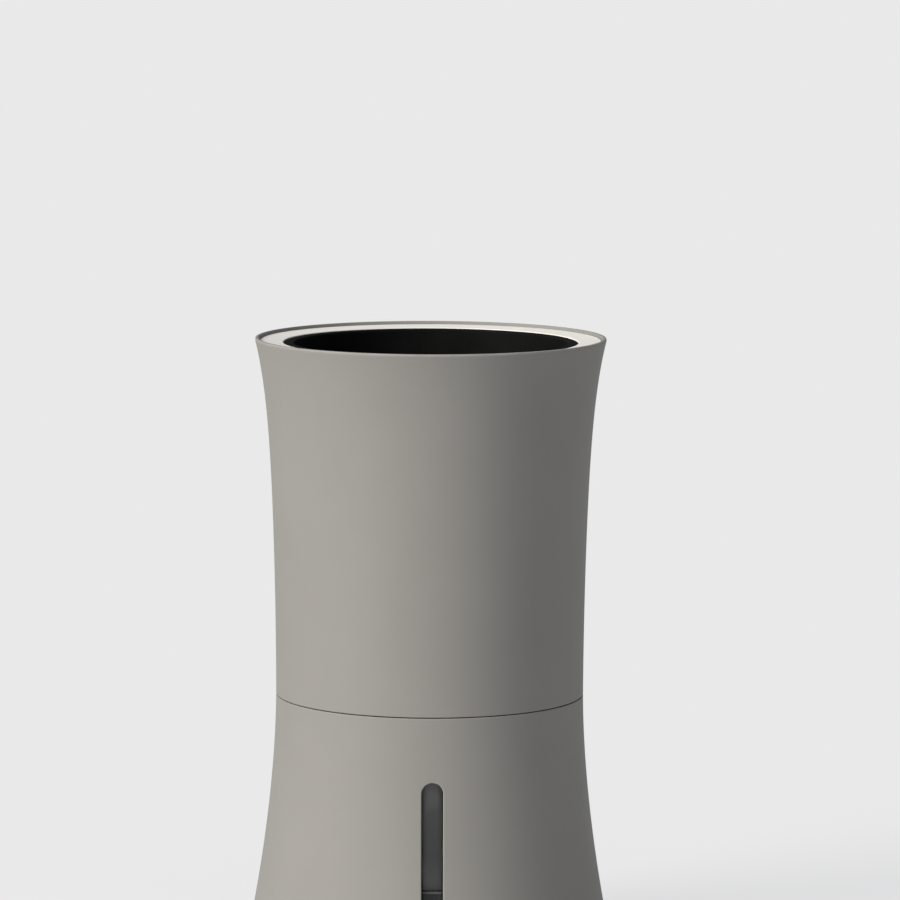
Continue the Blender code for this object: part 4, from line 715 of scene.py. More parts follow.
def openSlot(piece, slot, radiusAt):
    # takes a patch out of both faces of the wall, bridges each hole to the slot's outline,
    # then joins the two outlines
    side, middle, reach, wall = slot["side"], slot["middle"], slot["reach"], casing["wall"]
    halfX, halfZ = slot["width"] / 2, slot["height"] / 2
    ends = min(halfX, halfZ)
    runX, runZ = halfX - ends, halfZ - ends

    def onLayer(spot, inset, around):
        x, y, z = spot / mm
        turn = math.atan2(abs(x), y * side)
        if turn > (halfX + around) / radiusAt(middle) or abs(z - middle) > halfZ + around:
            return False
        return abs(math.hypot(x, y) - radiusAt(z) + inset) < wall / 4

    def toWall(x, z, inset):
        return Vector((x, side * math.sqrt((radiusAt(z) - inset) ** 2 - x * x), z)) * mm

    def slotSpot(spot, inset):
        x, z = spot.x / mm, spot.z / mm - middle
        core = Vector((max(-runX, min(runX, x)), max(-runZ, min(runZ, z))))
        edge = core + (Vector((x, z)) - core).normalized() * ends
        return toWall(edge.x, edge.y + middle, inset)

    def openHere(inset):
        def here(i):
            return onLayer(piece.data.vertices[i].co, inset, reach + slotMargin)

        return {key for key in openEdges(piece.data) if all(here(i) for i in key)}

    def bridge(wanted, **how):
        pickParts(piece, "EDGE", lambda edge: edge.key in wanted)
        bpy.ops.mesh.bridge_edge_loops(**how)
        toMode("OBJECT")

    rim = set()
    for inset in (0.0, wall):
        pickParts(piece, "FACE", lambda face: onLayer(face.center, inset, reach))
        bpy.ops.mesh.delete(type="FACE")
        toMode("OBJECT")
        ring = [piece.data.vertices[i].co for i in {i for key in openHere(inset) for i in key}]
        ring.sort(key=lambda spot: math.atan2(spot.z / mm - middle, spot.x / mm))
        outline = [slotSpot(spot, inset) for spot in ring]
        piece = joinAll(piece.name, [piece, loopThrough("slotLoop", outline)])
        bridge(openHere(inset), number_cuts=2, interpolation="LINEAR")
        for corner in piece.data.vertices:
            if onLayer(corner.co, inset, reach):
                corner.co = toWall(corner.co.x / mm, corner.co.z / mm, inset)
        rim = rim or {rounded(spot) for spot in outline}  # the outer one
    bridge(openEdges(piece.data))
    onRim = {corner.index for corner in piece.data.vertices if rounded(corner.co) in rim}
    pickParts(piece, "EDGE", lambda edge: onRim.issuperset(edge.vertices))
    bpy.ops.mesh.bevel(offset=slot["round"] * mm, segments=3, affect="EDGES")
    toMode("OBJECT")
    return piece


potLedge = {
    "tubeX": 51.13, "tubeHole": 4.2, "tubePast": 3.0,
    "screws": (4, ledgeInner + 5.0, 45.0),  # count, ring, first angle
    "screwHole": 1.8, "screwTop": 134.6,
}
ledgeTube = (potLedge["tubeX"], 0.0)
ledgeScrews = ringSpots(*potLedge["screws"])


def makePotCasing():
    low, top, edgeZ = casing["ledgeLow"], casing["ledgeTop"], potLow - casing["seamLip"]
    (outside, inside), (outerClear, innerClear) = casing["lipRound"], casing["lipClear"]
    rows = levels(potLow + casing["seamClear"], lipZ - outerClear, casing["rows"])
    lowRows = [z for z in reversed(rows) if z < low - casing["cornerClear"]]
    innerRows = levels(lipZ - innerClear, top + casing["ledgeClear"], casing["rows"] // 2)
    corners = [
        (potRadius(potLow), edgeZ, casing["seamRound"]), *follow(potRadius, rows),
        (potRadius(lipZ), lipZ, outside), (potInner(lipZ), lipZ, inside), *follow(potInner, innerRows),
        (potInner(top), top, 0.8), (ledgeInner, top, 0.6), (ledgeInner, low, 0.6), (potInner(low), low, 0.2),
        *follow(potInner, lowRows), (potInner(potLow), potLow, 0.2),
        (potInner(potLow) + casing["seamSlope"], edgeZ, 0.1),
    ]
    shell = openSlot(turnOutline("potCasing", corners, casing["steps"], rounding=4), panelSlot, potRadius)
    tubeTop = top + potLedge["tubePast"]
    hole = turnRod("tubePassage", potLedge["tubeHole"], low - past, tubeTop, ledgeTube, steps=48)
    bites = rodsAt("ledgeBites", potLedge["screwHole"], low - past, potLedge["screwTop"], ledgeScrews)
    finishPiece(cut(shell, hole, bites), "shellGrey", "pot", "pot_shell", smooth=30.0)


tankParts = {  # mm
    "shoulder": (7.0, 14.0, 7.0),  # low, top, width
    "mouth": (51.95, 8.0, 6.1),  # radius, height, slope under it
    "groove": (53.15, 55.15, 1.4),  # near, far, depth
    "screws": (4, 4.2),  # count, inset
    "screwHole": (1.8, 11.0),  # radius, top
}
rebate = tankInner(tankParts["shoulder"][0])
baseScrews = ringSpots(tankParts["screws"][0], rebate - tankParts["screws"][1])


def makeTankCasing():
    low, top, width = tankParts["shoulder"]
    mouth, tall, slope = tankParts["mouth"]
    near, far, deep = tankParts["groove"]
    step, slopeLow, edgeZ = rebate - width, tankTop - tall - slope, tankTop + casing["seamLip"]
    rows = levels(tankTop - casing["seamClear"], footZ + casing["footClear"], casing["rows"])
    clear = casing["cornerClear"]
    corners = [
        (tankRadius(tankTop), edgeZ, casing["seamRound"]), *follow(tankRadius, rows),
        (tankRadius(footZ), footZ, casing["baseRound"]), (rebate, footZ, 0.2), (rebate, low),
        (step, low, 0.3), (step, top, 0.6), (tankInner(top), top, 0.8),
        *follow(tankInner, [z for z in reversed(rows) if top + clear < z < slopeLow - clear]),
        (tankInner(slopeLow), slopeLow, 1.2), (mouth, tankTop - tall, 0.8), (mouth, tankTop, 0.4),
        (near, tankTop, 0.2), (near, tankTop - deep), (far, tankTop - deep), (far, tankTop, 0.1),
        (far + casing["seamSlope"], edgeZ, 0.1),
    ]
    shell = openSlot(turnOutline("tankCasing", corners, casing["steps"], rounding=4), levelSlot, tankRadius)
    size, high = tankParts["screwHole"]
    cut(shell, rodsAt("baseBites", size, low - past, high, baseScrews))
    finishPiece(shell, "shellGrey", "tank", "tank_shell", smooth=30.0)


makePotCasing()
makeTankCasing()
print("casings made")

# the level window and its float

plateParts = {
    "grid": (16, 90),
    "straight": 0.7,  # share of the grid's length between the round ends
    "crownFrom": 0.55, "crownOver": 0.45,  # shares of the way to the edge
}


def curvedPlate(name, slot, radiusAt, front, depth, grow, crown=0.0):
    # a plate with round ends that follows the casing, front mm inside its outline
    # and lower by the crown at its edge
    halfX, halfZ = slot["width"] / 2 + grow, slot["height"] / 2 + grow
    ends, run, straight = min(halfX, halfZ), abs(halfX - halfZ), plateParts["straight"]
    columns, rows = plateParts["grid"]
    clearPicks()
    bpy.ops.mesh.primitive_grid_add(x_subdivisions=columns, y_subdivisions=rows, size=2.0)
    piece = named(name)
    for corner in piece.data.vertices:
        across, along = math.sin(corner.co.x * math.pi / 2), corner.co.y
        over = max(0.0, abs(along) - straight) / (1.0 - straight) * math.pi / 2
        far = math.copysign(run * min(1.0, abs(along) / straight) + ends * math.sin(over), along)
        wide = across * ends * math.cos(over)
        x, z = (wide, far) if halfZ > halfX else (far, wide)
        z += slot["middle"]
        toEdge = math.hypot(math.sin(over), across * math.cos(over))
        deep = front + ease(0.0, crown, (toEdge - plateParts["crownFrom"]) / plateParts["crownOver"])
        corner.co = Vector((x, slot["side"] * math.sqrt((radiusAt(z) - deep) ** 2 - x * x), z)) * mm
    pickAll(piece)
    bpy.ops.mesh.remove_doubles(threshold=1e-6)
    pushOut(0.0, -slot["side"] * depth, 0.0)
    return cleanUp(piece)


def flangedPlate(name, slot, radiusAt, sizes):
    # a plug for the slot, with a flange behind the wall
    plug = curvedPlate(name, slot, radiusAt, sizes["recess"], sizes["plug"], -fit, sizes["crown"])
    front, deep = sizes["flangeFront"], sizes["back"] - sizes["flangeFront"]
    return fuse(plug, curvedPlate("slotFlange", slot, radiusAt, front, deep, sizes["margin"]))


lensParts = {"recess": 1.0, "crown": 0.9, "plug": 3.4, "flangeFront": 4.0, "back": 5.4, "margin": 2.6}
floatRound = 1.2  # mm


def makeFloat():
    clearPicks()
    turn = (-math.atan2(floatAxis.y, floatAxis.z), 0, 0)
    size = Vector(floatSize) * mm
    bpy.ops.mesh.primitive_cube_add(size=1.0, location=floatMiddle, rotation=turn, scale=size)
    piece = settle(named("levelFloat"))
    applyModifier(piece, "BEVEL", width=floatRound * mm, segments=4)
    finishPiece(piece, "floatDark", "float", "level_float")


lens = flangedPlate("levelWindow", levelSlot, tankRadius, lensParts)
finishPiece(lens, "smokedClear", "tank", "window_lens")
makeFloat()
print("level window made")

# what closes the tank

baseParts = {  # mm
    "top": 5.2,
    "panel": (41.0, 0.6),  # radius, depth
    "feet": (4, rebate - tankParts["shoulder"][2] - 11.2, 45.0),  # count, ring, first angle
    "pad": (6.5, 3.0),  # radius, height
    "padHollow": (2.2, 2.5, 0.5),  # radius inside and at the floor, depth
    "sinkTop": 4.1, "screwTip": 10.7,
}
screwParts = {
    "shank": 1.5, "head": 2.7, "headTall": 1.8, "cross": (0.55, 1.75), "crossDeep": 1.0,
    "tip": (1.2, 0.6),  # length, and share of the shank at its end
    "turn": 37.0,  # degrees from one screw's cross to the next
}
shankHole, headHole = screwParts["shank"] + fit, screwParts["head"] + fit


def makeScrew(name, headZ, tipZ):
    head, shank, seat = screwParts["head"], screwParts["shank"], headZ + screwParts["headTall"]
    taper, share = screwParts["tip"]
    corners = [
        (0.0, headZ), (head, headZ, 0.5), (head, seat, 0.1), (shank, seat),
        (shank, tipZ - taper), (shank * share, tipZ), (0.0, tipZ),
    ]
    piece = turnOutline(name, corners, 32)
    (wide, long), deep = screwParts["cross"], screwParts["crossDeep"]
    for x, y in ((long, wide / 2), (wide / 2, long)):
        cut(piece, makeBlock("crossBar", (-x, -y, headZ - deep), (x, y, headZ + deep)))
    return piece


def placeCopies(pattern, spots, finish, body, nodeName, turn=0.0):
    for number, spot in enumerate(spots, 1):
        made = copyPiece(pattern, f"{pattern.name}{number}", (*spot, 0.0), math.radians(turn * number))
        finishPiece(made, finish, body, f"{nodeName}_{number}")
    drop(pattern)


def placeScrews(name, headZ, tipZ, spots, body, nodeName):
    placeCopies(makeScrew(name, headZ, tipZ), spots, "steelBright", body, nodeName, screwParts["turn"])


def makeBase():
    top, edge, (middle, deep) = baseParts["top"], rebate - fit, baseParts["panel"]
    radius, tall = baseParts["pad"]
    corners = [
        (0.0, top), (edge, top, 0.3), (edge, footZ, 0.4), (middle, footZ, 0.3),
        (middle - deep, footZ + deep, 0.3), (0.0, footZ + deep),
    ]
    feet, low = ringSpots(*baseParts["feet"]), footZ - past
    plate = cut(
        turnOutline("basePlate", corners, 160),
        rodsAt("footSockets", radius + fit, low, tall + fit, feet, 48),
        rodsAt("screwSinks", headHole, low, baseParts["sinkTop"], baseScrews, 32),
        rodsAt("screwHoles", shankHole, low, top + past, baseScrews),
    )
    finishPiece(plate, "mouldedDark", "tank", "base_plate")
    inside, outside, hollow = baseParts["padHollow"]
    corners = [
        (0.0, hollow), (inside, hollow, 0.2), (outside, 0.0, 0.2),
        (radius, 0.0, 0.5), (radius, tall, 0.3), (0.0, tall),
    ]
    placeCopies(turnOutline("footPad", corners, 64), feet, "rubberBlack", "tank", "foot")
    placeScrews("baseScrew", footZ, baseParts["screwTip"], baseScrews, "tank", "base_screw")


sealRing = {"near": 53.45, "far": 54.85, "low": 98.4, "top": 100.2}  # mm


def makeSeal():
    near, far, low, top = sealRing.values()
    corners = [(far, top, 0.5), (far, low, 0.2), (near, low, 0.2), (near, top, 0.5)]
    finishPiece(turnOutline("seamSeal", corners, 192), "rubberBlack", "tank", "seam_gasket")


makeBase()
makeSeal()
print("base made")

# the inner pot

cup = {  # mm
    "floorZ": 135.9, "topZ": 233.1, "taper": 8.6, "step": 1.7, "rimHeight": 6.5, "wall": 2.0, "floor": 2.4,
    "collarTop": 233.9, "collarWidth": 8.7, "collarFall": 0.6, "collarEdge": 2.0,
    "skirtWall": 1.6, "skirtDeep": 5.0, "bedTop": 217.0,
    "rows": 24, "innerClear": (3.0, 2.0), "outerClear": (4.0, 5.0),  # kept free of rows
    "drain": (2.8, ((4, 12.0), (8, 28.0))),  # radius, and the count and ring of each row
}
cupRim = potInner(cup["collarTop"]) - cup["collarWidth"] - 2 * fit
cupFoot = cupRim - cup["taper"]


def cupRadius(z):
    share = (z - cup["floorZ"]) / (cup["topZ"] - cup["floorZ"])
    return cupFoot + (cupRim - cup["step"] - cupFoot) * share


def cupInner(z):
    return cupRadius(z) - cup["wall"]


drip = {  # mm
    "tube": 2.6, "inset": 6.4, "elbow": 2.1, "bend": 4.5, "pin": 1.3, "pinLong": 5.0,
    "sideHole": 6.0, "elbowLow": 214.3, "hoseLevel": 206.0,
    "outlets": 16, "outletTurn": (0.42, 0.58), "outletInward": -0.6, "outletDown": (-0.75, -0.35),
    "outletInset": (0.25, 0.1, 0.7),  # first inset, second inset, depth
}
dripZ = cup["bedTop"] + fit + drip["tube"]
dripRing = cupInner(dripZ) - drip["inset"]


def makeCup():
    low, top, floor = cup["floorZ"], cup["topZ"], cup["floorZ"] + cup["floor"]
    rimZ, count = top - cup["rimHeight"], cup["rows"]
    underRim = rimZ - cup["step"]
    (overFloor, underTop), (belowRim, overLow) = cup["innerClear"], cup["outerClear"]
    corners = [
        (0.0, floor), (cupInner(floor), floor, 0.15),
        *follow(cupInner, levels(floor + overFloor, top - underTop, count)),
        (cupInner(top), top, 0.7), (cupRim, top, 0.4), (cupRim, rimZ, 0.5),
        (cupRadius(underRim), underRim, 0.5),
        *follow(cupRadius, levels(rimZ - belowRim, low + overLow, count)),
        (cupRadius(low), low, 3.0), (0.0, low),
    ]
    piece = turnOutline("innerPot", corners, 192, rounding=4)
    size, rings = cup["drain"]
    spots = [spot for ring in rings for spot in ringSpots(*ring)]
    holes = rodsAt("drainHoles", size, low - past, floor + past, spots, 32)
    spot = (cupRadius(dripZ), 0.0, dripZ)
    side = rodAlongX("elbowHole", drip["elbow"] + 2 * fit, drip["sideHole"], spot)
    finishPiece(cut(piece, holes, side), "cupBlack", "inner_pot", "inner_pot")


def makeCollar():
    top, near = cup["collarTop"], cupRim + fit
    low, skirt, skirtLow = top - cup["collarEdge"], near + cup["skirtWall"], cup["topZ"] - cup["skirtDeep"]
    corners = [
        (potInner(top) - fit, top, 0.35), (potInner(low) - fit, low, 0.2), (skirt, low, 0.4),
        (skirt, skirtLow, 0.3), (near, skirtLow, 0.3), (near, top - cup["collarFall"], 0.35),
    ]
    ring = turnOutline("rimCollar", corners, 224, rounding=4)
    finishPiece(ring, "collarPale", "inner_pot", "rim_collar")


bed = {  # mm
    "low": 140.3, "radius": 5.0, "height": 9.0, "pitch": 11.8, "stand": 4.2, "uneven": 1.2, "seed": 7,
    "crumbs": 4000,  # small stones tried in the gaps
    "crumbSize": (1.5, 3.1), "crumbStand": (0.7, 2.3), "crumbApart": 0.56,
    "crumbTall": 1.7,  # of its size
    "grids": ((14, 9), (7, 5)), "rough": (0.09, 0.15),  # stones and crumbs
    "worn": (0.4, 0.35),  # where the worn side begins, and how much it loses
    "dentLean": (-0.2, 0.6), "narrow": 0.88,
}
bedLevel = cup["bedTop"] - bed["stand"]


def bedEdge(z):
    return cupInner(z) - fit


def stoneSpots():
    golden = (math.sqrt(5) - 1) / 2
    apart = bed["pitch"] * math.sqrt(math.sqrt(3) / fullTurn)
    reach = bedEdge(bedLevel) - bed["radius"] - fit
    spots = []
    for i in range(int((reach / apart) ** 2 + 0.5)):
        top = cup["bedTop"] - bed["uneven"] * (i * golden % 1.0)
        spots.append((*polar(apart * math.sqrt(i + 0.5), fullTurn * golden * i), top))
    return spots


def crumbSpots(stones, dice):
    taken = [(x, y, bed["radius"]) for x, y, _ in stones]
    spots, apart = [], bed["crumbApart"]
    for _ in range(bed["crumbs"]):
        size = dice.uniform(*bed["crumbSize"])
        radius = (bedEdge(bedLevel) - size - fit) * math.sqrt(dice.random())
        x, y = polar(radius, dice.uniform(0.0, fullTurn))
        if all(math.hypot(x - ox, y - oy) > apart * (other + size) for ox, oy, other in taken):
            taken.append((x, y, size))
            spots.append((x, y, bedLevel + dice.uniform(*bed["crumbStand"]), size))
    return spots


def makeBall(segments, rings):
    clearPicks()
    bpy.ops.mesh.primitive_uv_sphere_add(segments=segments, ring_count=rings, radius=1.0)
    return bpy.context.object


def placeStone(pattern, spot, size, tall, rough, dice):
    # top of the stone at the spot; its surface is uneven, but never past its size
    stone = twin(pattern)
    dent = [dice.uniform(-1.0, 1.0), dice.uniform(-1.0, 1.0), dice.uniform(*bed["dentLean"])]
    dent = Vector(dent).normalized()
    wornFrom, wornBy = bed["worn"]
    for corner in stone.data.vertices:
        flat = max(0.0, corner.co.dot(dent) - wornFrom) * wornBy
        corner.co *= 1.0 - flat - rough * dice.random()
    stone.scale = Vector((size, size * dice.uniform(bed["narrow"], 1.0), tall / 2)) * mm
    stone.rotation_euler.z = dice.uniform(0.0, fullTurn)
    stone.location = (Vector(spot) - Vector((0.0, 0.0, tall / 2))) * mm
    return stone


def makeBed():
    dice, low = random.Random(bed["seed"]), bed["low"]
    corners = [(0.0, bedLevel), (bedEdge(bedLevel), bedLevel, 0.4), (bedEdge(low), low, 0.4), (0.0, low)]
    made = [turnOutline("growingBed", corners, 96)]
    stones, (rough, crumbRough) = stoneSpots(), bed["rough"]
    fine, coarse = (makeBall(*grid) for grid in bed["grids"])
    made += [placeStone(fine, spot, bed["radius"], bed["height"], rough, dice) for spot in stones]
    for x, y, top, size in crumbSpots(stones, dice):
        made.append(placeStone(coarse, (x, y, top), size, size * bed["crumbTall"], crumbRough, dice))
    drop(fine, coarse)
    finishPiece(joinAll("growingBed", made), "clayPebble", "inner_pot", "growing_medium", smooth=60.0)
    print("stones laid:", len(made) - 1)


def makeDripRing():
    clearPicks()
    bpy.ops.mesh.primitive_torus_add(
        major_segments=128, minor_segments=24, major_radius=dripRing * mm, minor_radius=drip["tube"] * mm
    )
    ring = named("dripRing")
    ring.location.z = dripZ * mm
    settle(ring)
    turnLow, turnHigh = drip["outletTurn"]
    downLow, downHigh = drip["outletDown"]

    def isOutlet(face):
        x, y, _ = face.center
        turn = (math.atan2(y, x) / (fullTurn / drip["outlets"])) % 1.0
        inward = (face.normal.x * x + face.normal.y * y) / math.hypot(x, y)
        facing = inward < drip["outletInward"] and downLow < face.normal.z < downHigh
        return facing and turnLow < turn < turnHigh

    first, second, deep = drip["outletInset"]
    pickParts(ring, "FACE", isOutlet)
    bpy.ops.mesh.inset(thickness=first * mm, depth=0.0)
    bpy.ops.mesh.inset(thickness=second * mm, depth=-deep * mm)
    toMode("OBJECT")
    finishPiece(ring, "cupBlack", "inner_pot", "drip_ring")


def betweenPots(z):
    return (cupRadius(z) + potInner(z)) / 2


def makeElbow():
    bend, radius = drip["bend"], drip["elbow"]
    start, kneeX, kneeZ = dripRing + drip["tube"] + fit, betweenPots(drip["hoseLevel"]) - bend, dripZ - bend
    clearPicks()
    bpy.ops.mesh.primitive_circle_add(
        vertices=24, radius=radius * mm, fill_type="NGON",
        location=Vector((start, 0.0, dripZ)) * mm, rotation=(0.0, math.radians(90), 0.0),
    )
    piece = settle(named("inletElbow"))
    pickAll(piece)
    pushOut(kneeX - start, 0.0, 0.0)
    hub = Vector((kneeX, 0.0, kneeZ)) * mm
    bpy.ops.mesh.spin(steps=12, angle=math.radians(90), center=hub, axis=(0.0, 1.0, 0.0))
    pushOut(0.0, 0.0, -(kneeZ - drip["elbowLow"]))
    bpy.ops.mesh.inset(thickness=(radius - drip["pin"]) * mm, depth=0.0)
    pushOut(0.0, 0.0, -drip["pinLong"])
    toMode("OBJECT")
    finishPiece(piece, "cupBlack", "inner_pot", "inlet_elbow")


makeCup()
makeCollar()
makeBed()
makeDripRing()
makeElbow()
print("inner pot made")

# the service panel at the back

panel = {  # mm
    "recess": 0.6, "crown": 0.0, "plug": 3.0, "flangeFront": 2.9, "back": 4.3, "margin": 2.6,
    "through": (40.0, 66.0),  # y that its holes are cut over
    "port": (-11.0, 9.0, 3.2, 7.4),  # x, width, height, depth
    "portWall": 0.4, "portFloor": 1.2, "portGap": 0.4,
    "tongue": (0.35, 1.2, 0.12),  # half height, set back, rounding
    "button": (11.0, 3.4, 4.5),  # x, radius, flange radius
    "buttonStand": 0.6, "buttonFlange": 1.0, "buttonRim": 1.0, "buttonDish": 0.3,
    "lamp": (1.25, 47.35),  # radius, inner end
}
panelZ, panelFace = panelSlot["middle"], waist - panel["recess"]
buttonX, buttonRadius, buttonFlange = panel["button"]
buttonStop = math.sqrt((waist - panel["back"]) ** 2 - (buttonX + buttonFlange) ** 2) - fit
buttonFace = math.sqrt(panelFace**2 - buttonX**2) + panel["buttonStand"]


def roundBar(name, x, width, height, near, far):
    # a bar with round ends in section, that runs back along Y
    ends = height / 2
    run = width / 2 - ends
    clearPicks()
    bpy.ops.mesh.primitive_circle_add(vertices=40, radius=1.0, fill_type="NGON")
    piece = named(name)
    for corner in piece.data.vertices:
        side = run if corner.co.x > 0 else -run
        corner.co = Vector((x + side + corner.co.x * ends, near, panelZ + corner.co.y * ends)) * mm
    pickAll(piece)
    pushOut(0.0, far - near, 0.0)
    return cleanUp(piece)


def makePanel():
    plate = flangedPlate("servicePanel", panelSlot, potRadius, panel)
    x, width, height, _ = panel["port"]
    gap, (near, far) = 2 * panel["portGap"], panel["through"]
    port = roundBar("portHole", x, width + gap, height + gap, near, far)
    hole = turnRod("buttonHole", buttonRadius + fit, near, far, (buttonX, panelZ), steps=64, upright=False)
    lamp = turnRod("lampHole", panel["lamp"][0] + fit, near, far, (0.0, panelZ), steps=40, upright=False)
    finishPiece(cut(plate, port, hole, lamp), "panelBlack", "pot", "service_panel")


def makePort():
    x, width, height, depth = panel["port"]
    back, wall, floor = buttonStop - depth, 2 * panel["portWall"], panel["portFloor"]
    shell = roundBar("powerInlet", x, width, height, back, buttonStop)
    cut(shell, roundBar("inletMouth", x, width - wall, height - wall, back + floor, buttonStop + past))
    half, (tall, setBack, edge) = (width - height) / 2, panel["tongue"]
    low, high = (x - half, back + floor / 2, panelZ - tall), (x + half, buttonStop - setBack, panelZ + tall)
    fuse(shell, makeBlock("inletTongue", low, high, edge))
    finishPiece(shell, "steelBright", "pot", "power_inlet")


def makeButton():
    radius, back = buttonRadius, buttonStop - panel["buttonFlange"]
    corners = [
        (0.0, back), (buttonFlange, back, 0.2), (buttonFlange, buttonStop, 0.2), (radius, buttonStop),
        (radius, buttonFace, 0.5), (radius - panel["buttonRim"], buttonFace, 0.6),
        (0.0, buttonFace - panel["buttonDish"]),
    ]
    cap = turnOutline("buttonCap", corners, 64, (buttonX, panelZ), upright=False, rounding=4)
    finishPiece(cap, "panelBlack", "button", "button_cap")


def makeLamp():
    radius, end = panel["lamp"]
    corners = [(0.0, end), (radius, end, 0.1), (radius, panelFace, 0.7), (0.0, panelFace)]
    rod = turnOutline("lampPipe", corners, 40, (0.0, panelZ), upright=False)
    finishPiece(rod, "whitePlastic", "pot", "led_pipe")


makePanel()
makePort()
makeButton()
makeLamp()
print("service panel made")

# deck, cover and drain

deck = {  # mm
    "top": 104.0, "bore": 8.8,
    "spigot": (49.15, 51.65, 92.5),  # inner and outer radius, low end
    "seal": (53.25, 101.3, 103.5),  # groove radius, low and top
    "post": 4.0, "postRoot": 102.2, "hangerPost": 108.0, "boardPost": 110.0,
    "under": 1.5, "holeTop": 130.0, "sinkTop": 102.6, "hangerBite": 104.8, "boardBite": 105.7, "above": 115.0,
    "hangerY": 15.6, "boardSpots": ((21.5, 37.05), (-21.5, 37.05)),
    "tubeX": 42.95, "tubeHole": 4.1, "leadSpot": (-19.0, 21.05), "leadHole": 2.8,
    "screwTip": 134.0, "hangerScrew": (95.1, 104.5),
    "coverLow": 126.0, "coverTop": 129.0, "trayZ": 127.8,
    "drain": (6.5, 8.5, 88.5),  # bore, outside, low end
    "drainFlange": (11.5, 1.2),
}
deckTube = (deck["tubeX"], 0.0)
hangerSpots = [(0.0, deck["hangerY"]), (0.0, -deck["hangerY"])]


def makeDeck():
    edge, top, bore, boards = potInner(potLow) - fit, deck["top"], deck["bore"], deck["boardSpots"]
    groove, grooveLow, grooveTop = deck["seal"]
    near, far, spigotLow = deck["spigot"]
    corners = [
        (edge, top, 0.4), (edge, grooveTop), (groove, grooveTop), (groove, grooveLow), (edge, grooveLow),
        (edge, potLow, 0.2), (far, potLow, 0.4), (far, spigotLow, 0.9), (near, spigotLow, 0.6),
        (near, potLow, 0.6), (bore, potLow, 0.3), (bore, top, 0.3),
    ]
    floor = turnOutline("controlDeck", corners, 192)
    posts = (
        (ledgeScrews, deck["coverLow"] - fit), (hangerSpots, deck["hangerPost"]), (boards, deck["boardPost"]),
    )
    for spots, high in posts:
        fuse(floor, rodsAt("deckPosts", deck["post"], deck["postRoot"], high, spots, 32))
    below, above = potLow - deck["under"], deck["above"]
    cut(
        floor,
        rodsAt("deckHoles", shankHole, below, deck["holeTop"], ledgeScrews),
        rodsAt("deckSinks", headHole, below, deck["sinkTop"], ledgeScrews, 32),
        rodsAt("hangerBites", shankHole, below, deck["hangerBite"], hangerSpots),
        rodsAt("boardBites", shankHole, deck["boardBite"], above, boards),
        turnRod("tubeHole", deck["tubeHole"], below, above, deckTube),
        turnRod("leadHole", deck["leadHole"], below, above, deck["leadSpot"]),
    )
    finishPiece(floor, "mouldedDark", "pot", "control_deck")
    placeScrews("deckScrew", potLow, deck["screwTip"], ledgeScrews, "pot", "deck_screw")
    placeScrews("hangerScrew", *deck["hangerScrew"], hangerSpots, "pot", "hanger_screw")


def makeCover():
    low, top, tray = deck["coverLow"], deck["coverTop"], deck["trayZ"]
    edge, bore, (flange, thick) = potInner(low) - fit, deck["bore"], deck["drainFlange"]
    seat, under = flange + 2 * fit, tray - thick
    corners = [
        (edge, top, 0.3), (edge, low, 0.3), (bore, low), (bore, under - fit),
        (seat, under - fit), (seat, tray, 0.2), (ledgeInner, top),
    ]
    cover = cut(
        turnOutline("deckCover", corners, 160),
        rodsAt("coverHoles", shankHole, low - past, top + past, ledgeScrews),
        turnRod("coverPassage", potLedge["tubeHole"], low - past, top + past, ledgeTube),
    )
    finishPiece(cover, "mouldedDark", "pot", "deck_cover")
    drainBore, outside, drainLow = deck["drain"]
    corners = [
        (flange, tray, 0.3), (flange, under, 0.2), (outside, under, 0.3),
        (outside, drainLow, 0.5), (drainBore, drainLow, 0.3), (drainBore, tray, 0.5),
    ]
    finishPiece(turnOutline("drainTube", corners, 72), "mouldedDark", "pot", "drain_tube")


makeDeck()
makeCover()
print("deck made")

# pump, hanger and hoses

pump = {  # mm
    "radius": 18.0, "low": 22.0, "top": 56.0,
    "groove": (52.2, 53.0, 0.5),  # low, top, depth
    "cavity": (15.9, 53.6), "boss": (3.0, 51.6), "shaftHole": (1.55, 54.6),  # radius, end
    "flange": (20.0, 44.3, 47.0),  # radius, low, top
    "nozzle": (26.0, 31.0, 2.6, 3.2),  # x, z, arm radius, knee radius
    "armStart": 16.9, "pinTop": 46.2,
    "strainer": (9.7, 21.7, 1.6),  # low, top, wall
    "slots": (10, 2.4, 7.0),  # count, width, height
    "slotReach": (6.0, 4.0, 0.7),  # in, out, rounding
    "ring": (18.6, 21.6, 37.0, 44.0),  # near, far, low, top
    "leg": (4.0, 20.6, 24.0, 98.7),  # half width, near, far, top
    "legFoot": (4.8, 10.6, 24.8, 97.2, 100.2),  # half width, near, far, low, top
    "legRound": 0.6, "legHole": (94.0, 104.0),
}


